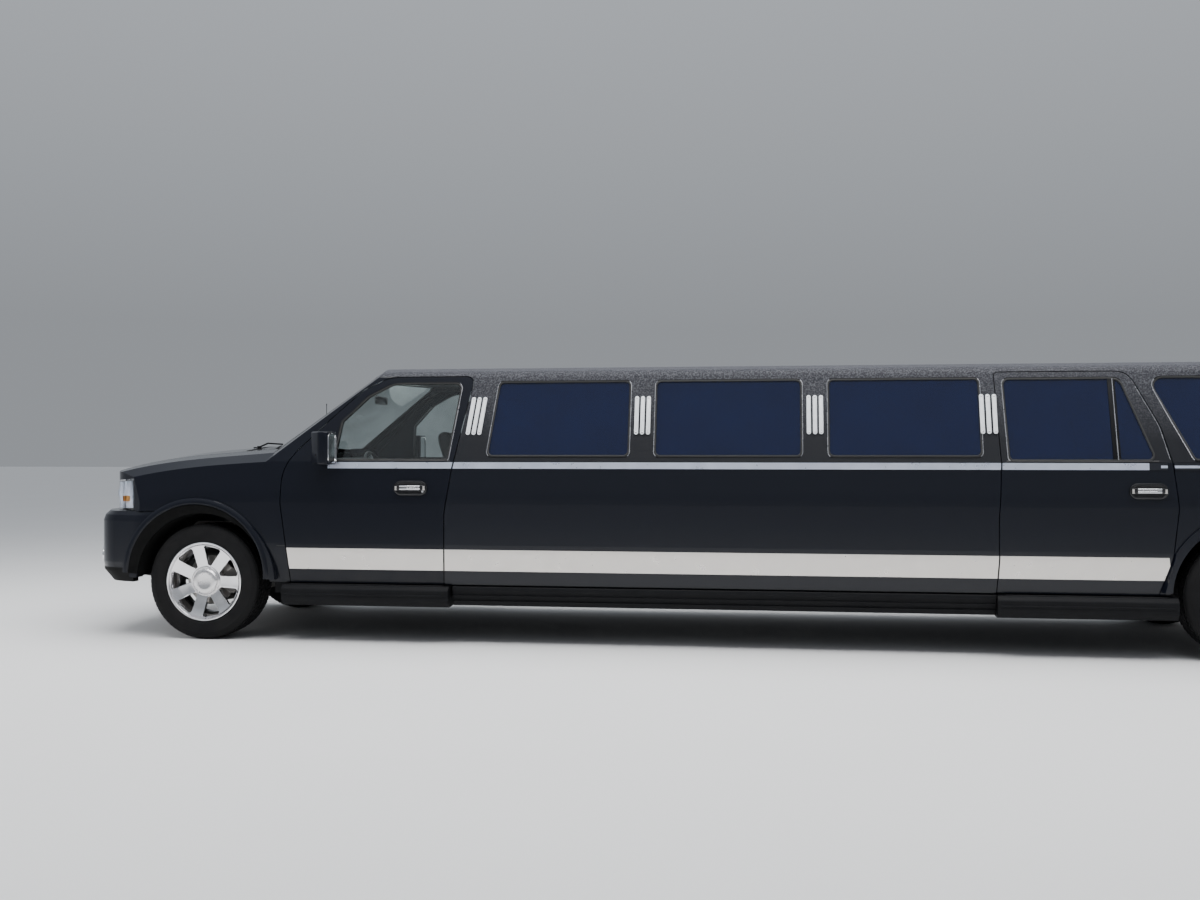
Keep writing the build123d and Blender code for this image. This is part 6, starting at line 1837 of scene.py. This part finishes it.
@dataclass
class Cockpit:
    """The dashboard's details, the steering wheel and the console between the front seats."""

    wheel: Point = (2.559, 0.42, 1.130)
    tilt: float = math.radians(-66.0)

    def build(self, shop: Shop) -> None:
        """Fits the pieces around the driver."""
        self.steering(shop)
        self.dash(shop)
        self.console(shop)

    @staticmethod
    def dash(shop: Shop) -> None:
        """Fits the instrument hood and dials, the wood band, the screen and the vents."""
        look = shop.finishes
        x, start = behind(0.94), behind(1.6)
        hood = rounded([
            (x + 0.02, 1.236, 0.02), (x + 0.03, 1.262, 0.02), (x + 0.17, 1.268, 0.03),
            (x + 0.17, 1.225, 0.0), (x + 0.06, 1.20, 0.0),
        ], 4)
        cover = Bench.slab("instrument_hood", hood, 0.21, 0.42)
        shop.fit(Bench.soften(cover, 0.012, 3, 50.0), look.dash)
        dials = []
        for y, r in ((0.50, 0.048), (0.38, 0.048), (0.30, 0.028)):
            profile = [(0.0, r), (0.004, r), (0.004, r - 0.004), (0.001, r - 0.006), (0.0, r - 0.006)]
            dial = Bench.lathe("dial", profile, 32, closed=True)
            dials.append(Bench.place(dial, "dial", (0, 0, math.pi / 2), (x - 0.001, y, 1.195)))
        shop.fit(Bench.join("dial_rings", dials), look.aluminium)
        hits = [
            shop.touch("dashboard", (start, -0.84 + 1.06 * i / 16, 1.115), FORWARD, 0.0)
            for i in range(17)
        ]
        band = Bench.band("dash_wood", hits, (-0.004, 0.01), 1.098, 1.134)
        shop.fit(Bench.soften(band, 0.003, 3), look.wood)
        near = shop.touch("dashboard", (start, 0.0, 1.19), FORWARD, 0.0)[0]
        panel = Bench.block(
            "centre_screen", (near - 0.010, -0.10, 1.142), (near + 0.03, 0.10, 1.232), 0.006, 3,
        )
        shop.fit(panel, look.gloss_black)
        vents = []
        for y in (-0.76, -0.18, 0.18, 0.76):
            x = shop.touch("dashboard", (start, y, 1.165), FORWARD, 0.0)[0]
            frame = Bench.block("vent", (x - 0.006, y - 0.055, 1.140), (x + 0.03, y + 0.055, 1.192), 0.006)
            Bench.cut(frame, Bench.block("hole", (x - 0.02, y - 0.048, 1.147), (x + 0.006, y + 0.048, 1.185)))
            slats = [
                Bench.block("slat", (x - 0.004, y - 0.048, z - 0.0016), (x + 0.008, y + 0.048, z + 0.0016))
                for z in (1.155, 1.166, 1.177)
            ]
            vents.append(Bench.join("vent", [frame] + slats))
        shop.fit(Bench.join("air_vents", vents), look.gloss_black)

    def steering(self, shop: Shop) -> None:
        """Makes the leather rim, its spokes and the padded hub."""
        look = shop.finishes
        Bench.clear()
        bpy.ops.mesh.primitive_torus_add(
            major_radius=0.185, minor_radius=0.0165, major_segments=64, minor_segments=16,
        )
        rim = bpy.context.object
        hub = Bench.block("hub", (-0.075, -0.085, -0.030), (0.075, 0.085, 0.026), 0.02, 3)
        spokes = []
        for angle in (math.pi / 2, math.pi * 1.5, 0.0):
            spoke = Bench.block("spoke", (0.06, -0.020, -0.014), (0.185, 0.020, 0.010), 0.006, 3)
            spokes.append(Bench.place(spoke, "spoke", (0, 0, angle), (0, 0, 0)))
        for piece, name, finish in (
            (rim, "steering_rim", look.leather), (hub, "steering_hub", look.dash),
            (Bench.join("spokes", spokes), "steering_spokes", look.aluminium),
        ):
            shop.fit(Bench.place(piece, name, (0, self.tilt, 0), self.wheel), finish)

    @staticmethod
    def console(shop: Shop) -> None:
        """Makes the console with its selector and armrest."""
        look = shop.finishes
        side = rounded([
            (behind(0.98), 0.566, 0.0), (behind(0.98), 0.98, 0.03), (behind(1.06), 0.93, 0.05),
            (behind(1.22), 0.80, 0.06), (behind(1.40), 0.80, 0.03), (behind(1.42), 0.875, 0.02),
            (behind(1.74), 0.875, 0.03), (behind(1.74), 0.566, 0.0),
        ], 4)
        shop.fit(Bench.soften(Bench.slab("console", side, -0.125, 0.25), 0.010, 3), look.dash)
        rest = Bench.block("armrest", (behind(1.735), -0.118, 0.868), (behind(1.43), 0.118, 0.915), 0.020, 4)
        shop.fit(rest, look.leather)
        lever = Bench.tube(
            "selector", [(behind(1.27), 0.045, 0.80), (behind(1.262), 0.045, 0.88)], 0.006, smooth=2,
        )
        knob = Bench.block("knob", (behind(1.282), 0.025, 0.875), (behind(1.242), 0.065, 0.925), 0.014, 3)
        shop.fit(Bench.join("gear_selector", [lever, knob]), look.chrome)


@dataclass
class Lounge:
    """What dresses the passenger cabin: the bar's glasses and handles, door cards and ceiling lights."""

    bar_top: float = 1.061
    card_y: float = 0.8745

    def build(self, shop: Shop) -> None:
        """Fits the lounge pieces."""
        self.bar(shop)
        self.door_cards(shop)
        self.ceiling(shop)
        self.boards(shop)

    @staticmethod
    def stand(
        name: str, profile: Sequence[Flat], steps: int, places: Sequence[Point],
    ) -> Piece:
        """Stands round pieces of one profile at some places, as one piece."""
        pieces = [Bench.place(Bench.lathe(name, profile, steps), name, FACE_UP, place) for place in places]
        return Bench.join(name, pieces) if len(pieces) > 1 else pieces[0]

    def bar(self, shop: Shop) -> None:
        """Sets tumblers, decanters and an ice bucket on the bar, with door fronts and pulls."""
        look, top = shop.finishes, self.bar_top
        profile = [(0.0, 0.0), (0.0, 0.030), (0.085, 0.038), (0.086, 0.036), (0.012, 0.028), (0.010, 0.0)]
        places = [(0.95 - 0.115 * i, 0.56 + 0.03 * (i % 2), top) for i in range(5)]
        shop.fit(self.stand("bar_tumblers", profile, 24, places), look.lens, slot="glass_clear")
        profile = [
            (0.0, 0.0), (0.0, 0.046), (0.01, 0.05), (0.13, 0.05), (0.17, 0.02),
            (0.215, 0.018), (0.22, 0.024), (0.245, 0.024), (0.25, 0.0),
        ]
        places = [(0.98 - 0.19 * i, 0.73, top) for i in range(3)]
        shop.fit(self.stand("bar_decanters", profile, 24, places), look.clear_glass)
        profile = [
            (0.0, 0.0), (0.0, 0.070), (0.01, 0.078), (0.15, 0.095), (0.156, 0.100),
            (0.16, 0.096), (0.155, 0.088), (0.012, 0.070), (0.012, 0.0),
        ]
        shop.fit(self.stand("ice_bucket", profile, 40, [(0.20, 0.62, top)]), look.chrome)
        fronts, pulls = [], []
        for x in (-0.13, 0.71, 1.13):
            fronts.append(Bench.block("front", (x + 0.01, 0.434, 0.60), (x + 0.40, 0.4405, 0.98), 0.003))
            ends = [(x + 0.36, 0.425, z) for z in (0.74, 0.86)]
            pulls.append(Bench.tube("pull", ends, 0.005, smooth=2))
        shop.fit(Bench.join("bar_fronts", fronts), look.wood)
        shop.fit(Bench.join("bar_pulls", pulls), look.aluminium)
        edge = Bench.tube("bar_edge", [(-0.275, 0.421, 1.040), (1.655, 0.421, 1.040)], 0.007, smooth=2)
        shop.fit(edge, look.chrome)

    def door_cards(self, shop: Shop) -> None:
        """Fits an armrest, a card, a pull and a speaker ring inside every door."""
        look, inner = shop.finishes, self.card_y
        model = Bench.lathe(
            "speaker", [(0.0, 0.075), (0.006, 0.073), (0.007, 0.066), (0.003, 0.062), (0.002, 0.0)], 32,
        )
        for name, x0, x1 in (("front", behind(1.62), behind(0.80)), ("rear", ahead(0.62), ahead(1.36))):
            rest = rounded([
                (x0, inner, 0.0), (x0, inner - 0.03, 0.02), (x0 + 0.12, inner - 0.062, 0.04),
                (x1 - 0.10, inner - 0.062, 0.04), (x1, inner - 0.02, 0.02), (x1, inner, 0.0),
            ], 4)
            for side, label in SIDES:
                door, body = f"{name}_{label}", f"door_{name}_{label}"
                arm = Bench.solid(f"armrest_{door}", [(a, side * b, 0.925) for a, b in rest], (0, 0, 0.05))
                shop.fit(Bench.soften(arm, 0.012, 3, 50.0), look.leather, body)
                low = (x0 - 0.02, side * (inner - 0.006), 0.62)
                high = (x1 + 0.02, side * (inner - 0.0005), 0.90)
                shop.fit(Bench.block(f"door_card_{door}", low, high, 0.002), look.dash, body)
                near, far = side * (inner - 0.002), side * (inner - 0.022)
                line = [(x0 + 0.2, near), (x0 + 0.21, far), (x0 + 0.29, far), (x0 + 0.30, near)]
                pull = Bench.tube(f"door_pull_{door}", [(a, b, 1.06) for a, b in line], 0.006, smooth=2)
                shop.fit(pull, look.chrome, body)
                place = (x1 - 0.16, side * (inner - 0.006), 0.74)
                shop.fit(Bench.copy(model, f"door_speaker_{door}", place, side == LEFT), look.trim, body)
        Bench.delete(model)

    def ceiling(self, shop: Shop) -> None:
        """Runs light strips and round lamps along the ceiling."""
        for side, label in SIDES:
            points = [(-1.6 + 3.1 * i / 12, side * 0.36, 1.858) for i in range(13)]
            shop.fit(Bench.tube(f"ceiling_strip_{label}", points, 0.008, smooth=2), shop.finishes.lens)
        profile = [(0.0, 0.036), (-0.006, 0.036), (-0.008, 0.030), (-0.006, 0.0)]
        places = [(1.40 - 0.5 * i, 0.0, 1.862) for i in range(7)]
        shop.fit(self.stand("ceiling_lamps", profile, 24, places), shop.finishes.aluminium)

    @staticmethod
    def boards(shop: Shop) -> None:
        """Lays ribbed treads on the running boards."""
        for name, x0, x1 in (("front", behind(1.768), behind(0.590)), ("rear", ahead(0.445), ahead(1.532))):
            for side, label in SIDES:
                ribs = []
                for y in (0.975, 0.984, 0.993, 1.002):
                    ends = [(x0 + 0.05, side * y, 0.4005), (x1 - 0.05, side * y, 0.4005)]
                    ribs.append(Bench.tube("rib", ends, 0.0032))
                ends = [(x0 + 0.02, side * 1.0345, 0.336), (x1 - 0.02, side * 1.0345, 0.336)]
                ribs.append(Bench.tube("edge", ends, 0.006, smooth=2))
                shop.fit(Bench.join(f"board_tread_{name}_{label}", ribs), shop.finishes.trim)


@dataclass
class UnderSkin:
    """What shows under the open bonnet and below the floor."""

    top: float = 1.0125

    @staticmethod
    def box(name: str, low: Point, high: Point, width: float, steps: int = 2) -> Piece:
        """Makes a rounded box between corners whose x counts from the front axle."""
        x = LINES.front_axle
        return Bench.block(name, (x + low[0], low[1], low[2]), (x + high[0], high[1], high[2]), width, steps)

    def build(self, shop: Shop) -> None:
        """Fits the engine bay's pieces and the springs."""
        look, top, front = shop.finishes, self.top, LINES.front_axle
        for name, low, high, width, steps, finish in (
            ("engine_cover", (-0.28, -0.20, top - 0.02), (0.36, 0.20, top + 0.04), 0.022, 4, look.trim),
            ("battery", (-0.48, 0.45, 0.86), (-0.24, 0.66, 1.09), 0.010, 3, look.trim),
            ("air_box", (-0.40, -0.70, 0.86), (-0.10, -0.43, 1.10), 0.03, 4, look.trim),
            ("coolant_tank", (0.10, -0.66, 0.90), (0.32, -0.48, 1.06), 0.03, 4, look.white),
            ("radiator", (0.60, -0.42, 0.52), (0.66, 0.42, 1.02), 0.012, 2, look.trim),
        ):
            shop.fit(self.box(name, low, high, width, steps), finish)
        ribs = [
            self.box("rib", (-0.24, y - 0.006, top + 0.036), (0.32, y + 0.006, top + 0.046), 0.003)
            for y in (-0.15, -0.09, -0.03, 0.03, 0.09, 0.15)
        ]
        cap = Bench.lathe("cap", [(0.0, 0.030), (0.018, 0.028), (0.022, 0.024), (0.022, 0.0)], 12)
        ribs.append(Bench.place(cap, "cap", FACE_UP, (front + 0.25, 0.175, top + 0.03)))
        shop.fit(Bench.join("engine_cover_ribs", ribs), look.gloss_black)
        runner = ((0.19, 0.015), (0.245, 0.005), (0.285, -0.04), (0.30, -0.10))
        for side, label in SIDES:
            pipes = []
            for x in (front - 0.20, front - 0.05, front + 0.10, front + 0.25):
                points = [(x, side * a, top + b) for a, b in runner]
                pipes.append(Bench.tube("runner", points, 0.022, smooth=3))
            shop.fit(Bench.join(f"intake_runners_{label}", pipes), look.aluminium)
        duct = ((-0.12, -0.50, 1.06), (-0.03, -0.44, 1.07), (0.10, -0.30, 1.065), (0.20, -0.18, 1.05))
        points = [(front + x, y, z) for x, y, z in duct]
        shop.fit(Bench.tube("intake_duct", points, 0.038, smooth=4), look.rubber)
        trays = [
            self.box("tray", (-0.52, 0.40, 0.846), (-0.20, 0.795, 0.862), 0.004),
            self.box("tray", (-0.44, -0.795, 0.846), (0.36, -0.40, 0.862), 0.004),
        ]
        shop.fit(Bench.join("bay_trays", trays), look.frame)
        self.springs(shop)

    @staticmethod
    def springs(shop: Shop, turns: int = 6, steps: int = 14, radius: float = 0.054) -> None:
        """Winds a coil spring over each front wheel."""
        for side, label in SIDES:
            points = []
            for i in range(turns * steps + 1):
                angle = math.tau * i / steps
                x, y = LINES.front_axle + radius * math.cos(angle), side * 0.575 + radius * math.sin(angle)
                points.append((x, y, 0.435 + 0.285 * i / (turns * steps)))
            shop.fit(Bench.tube(f"coil_spring_{label}", points, 0.0075, smooth=2), shop.finishes.frame)


@dataclass
class Studio:
    """The floor, the lights and the camera."""

    camera_place: Point = (-0.279, 8.985, 1.324)
    camera_way: Point = (0.1392, -0.9903, 0.0)
    focal: float = 36.39
    sensor: float = 36.0

    def build(self) -> None:
        """Makes the stage around the vehicle."""
        self.floor()
        self.lights()
        self.camera()

    @staticmethod
    def floor() -> None:
        """Lays a plain pale floor."""
        Bench.clear()
        bpy.ops.mesh.primitive_plane_add(size=160, location=(0, 0, 0))
        floor = Bench.done(bpy.context.object, "studio_floor", outwards=False)
        mix = Recipe("pale_floor")
        mix.plain(Roughness=0.85, Specular_IOR_Level=0.2)
        mix.plain(Base_Color=mix.tint(mix.noise(0.6, 4.0), (0.60, 0.60, 0.60), (0.64, 0.64, 0.64)))
        floor.data.materials.append(mix.material)

    @staticmethod
    def lights() -> None:
        """Hangs soft light panels over and beside the vehicle, in a pale surround."""
        world = bpy.data.worlds.new("soft_surround")
        world.use_nodes = True
        tree = world.node_tree
        back = tree.nodes["Background"]
        back.inputs["Color"].default_value = (0.88, 0.93, 1.0, 1.0)
        split = tree.nodes.new("ShaderNodeSeparateXYZ")
        rise = tree.nodes.new("ShaderNodeMapRange")
        for name, value in (("From Min", 0.10), ("From Max", 0.85), ("To Min", 0.34), ("To Max", 0.85)):
            rise.inputs[name].default_value = value
        tree.links.new(tree.nodes.new("ShaderNodeTexCoord").outputs["Generated"], split.inputs["Vector"])
        tree.links.new(split.outputs["Z"], rise.inputs["Value"])
        tree.links.new(rise.outputs["Result"], back.inputs["Strength"])
        bpy.context.scene.world = world
        panels = [
            ("overhead", (0.0, 0.0, 7.0), (0.0, 0.0, 0.0), (13.0, 5.0), 900.0),
            ("key", (-0.5, 4.6, 8.6), (0.0, 0.6, 0.8), (12.0, 2.4), 900.0),
            ("front", (9.5, 3.0, 3.5), (3.5, 0.0, 0.8), (3.0, 3.0), 220.0),
            ("behind", (-9.5, -3.0, 3.5), (-3.5, 0.0, 0.8), (3.0, 3.0), 180.0),
        ]
        for name, place, target, size, power in panels:
            Bench.clear()
            bpy.ops.object.light_add(type="AREA", location=place)
            light = bpy.context.object
            light.name = f"light_{name}"
            light.data.shape = "RECTANGLE"
            light.data.size, light.data.size_y = size
            light.data.energy = power
            light.visible_glossy = name == "key"
            way = Vector(target) - Vector(place)
            light.rotation_euler = way.to_track_quat("-Z", "Y").to_euler()

    def camera(self) -> None:
        """Sets the camera at the photograph's place."""
        Bench.clear()
        bpy.ops.object.camera_add(location=self.camera_place)
        camera = bpy.context.object
        camera.name = "photo_camera"
        camera.rotation_euler = Vector(self.camera_way).to_track_quat("-Z", "Y").to_euler()
        camera.data.sensor_fit = "HORIZONTAL"
        camera.data.sensor_width = self.sensor
        camera.data.lens = self.focal
        camera.data.clip_end = 400.0
        bpy.context.scene.camera = camera


def main() -> None:
    """Builds every sub-assembly in order."""
    logging.basicConfig(level=logging.INFO, format="%(name)s %(relativeCreated)6.0f ms: %(message)s")
    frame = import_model()
    shop = Shop(frame)
    Studio().build()
    BodyShell().build(shop)
    WindowTrim().build(shop)
    RoadWheel().build(shop)
    Tyre().build(shop)
    SideDetail().build(shop)
    OperaBars().build(shop)
    ArchLip().build(shop)
    DoorMirror().build(shop)
    Glazing().build(shop)
    FrontEnd().build(shop)
    TailEnd().build(shop)
    Seats().build(shop)
    Cockpit().build(shop)
    Lounge().build(shop)
    UnderSkin().build(shop)


if __name__ == "__main__":
    main()
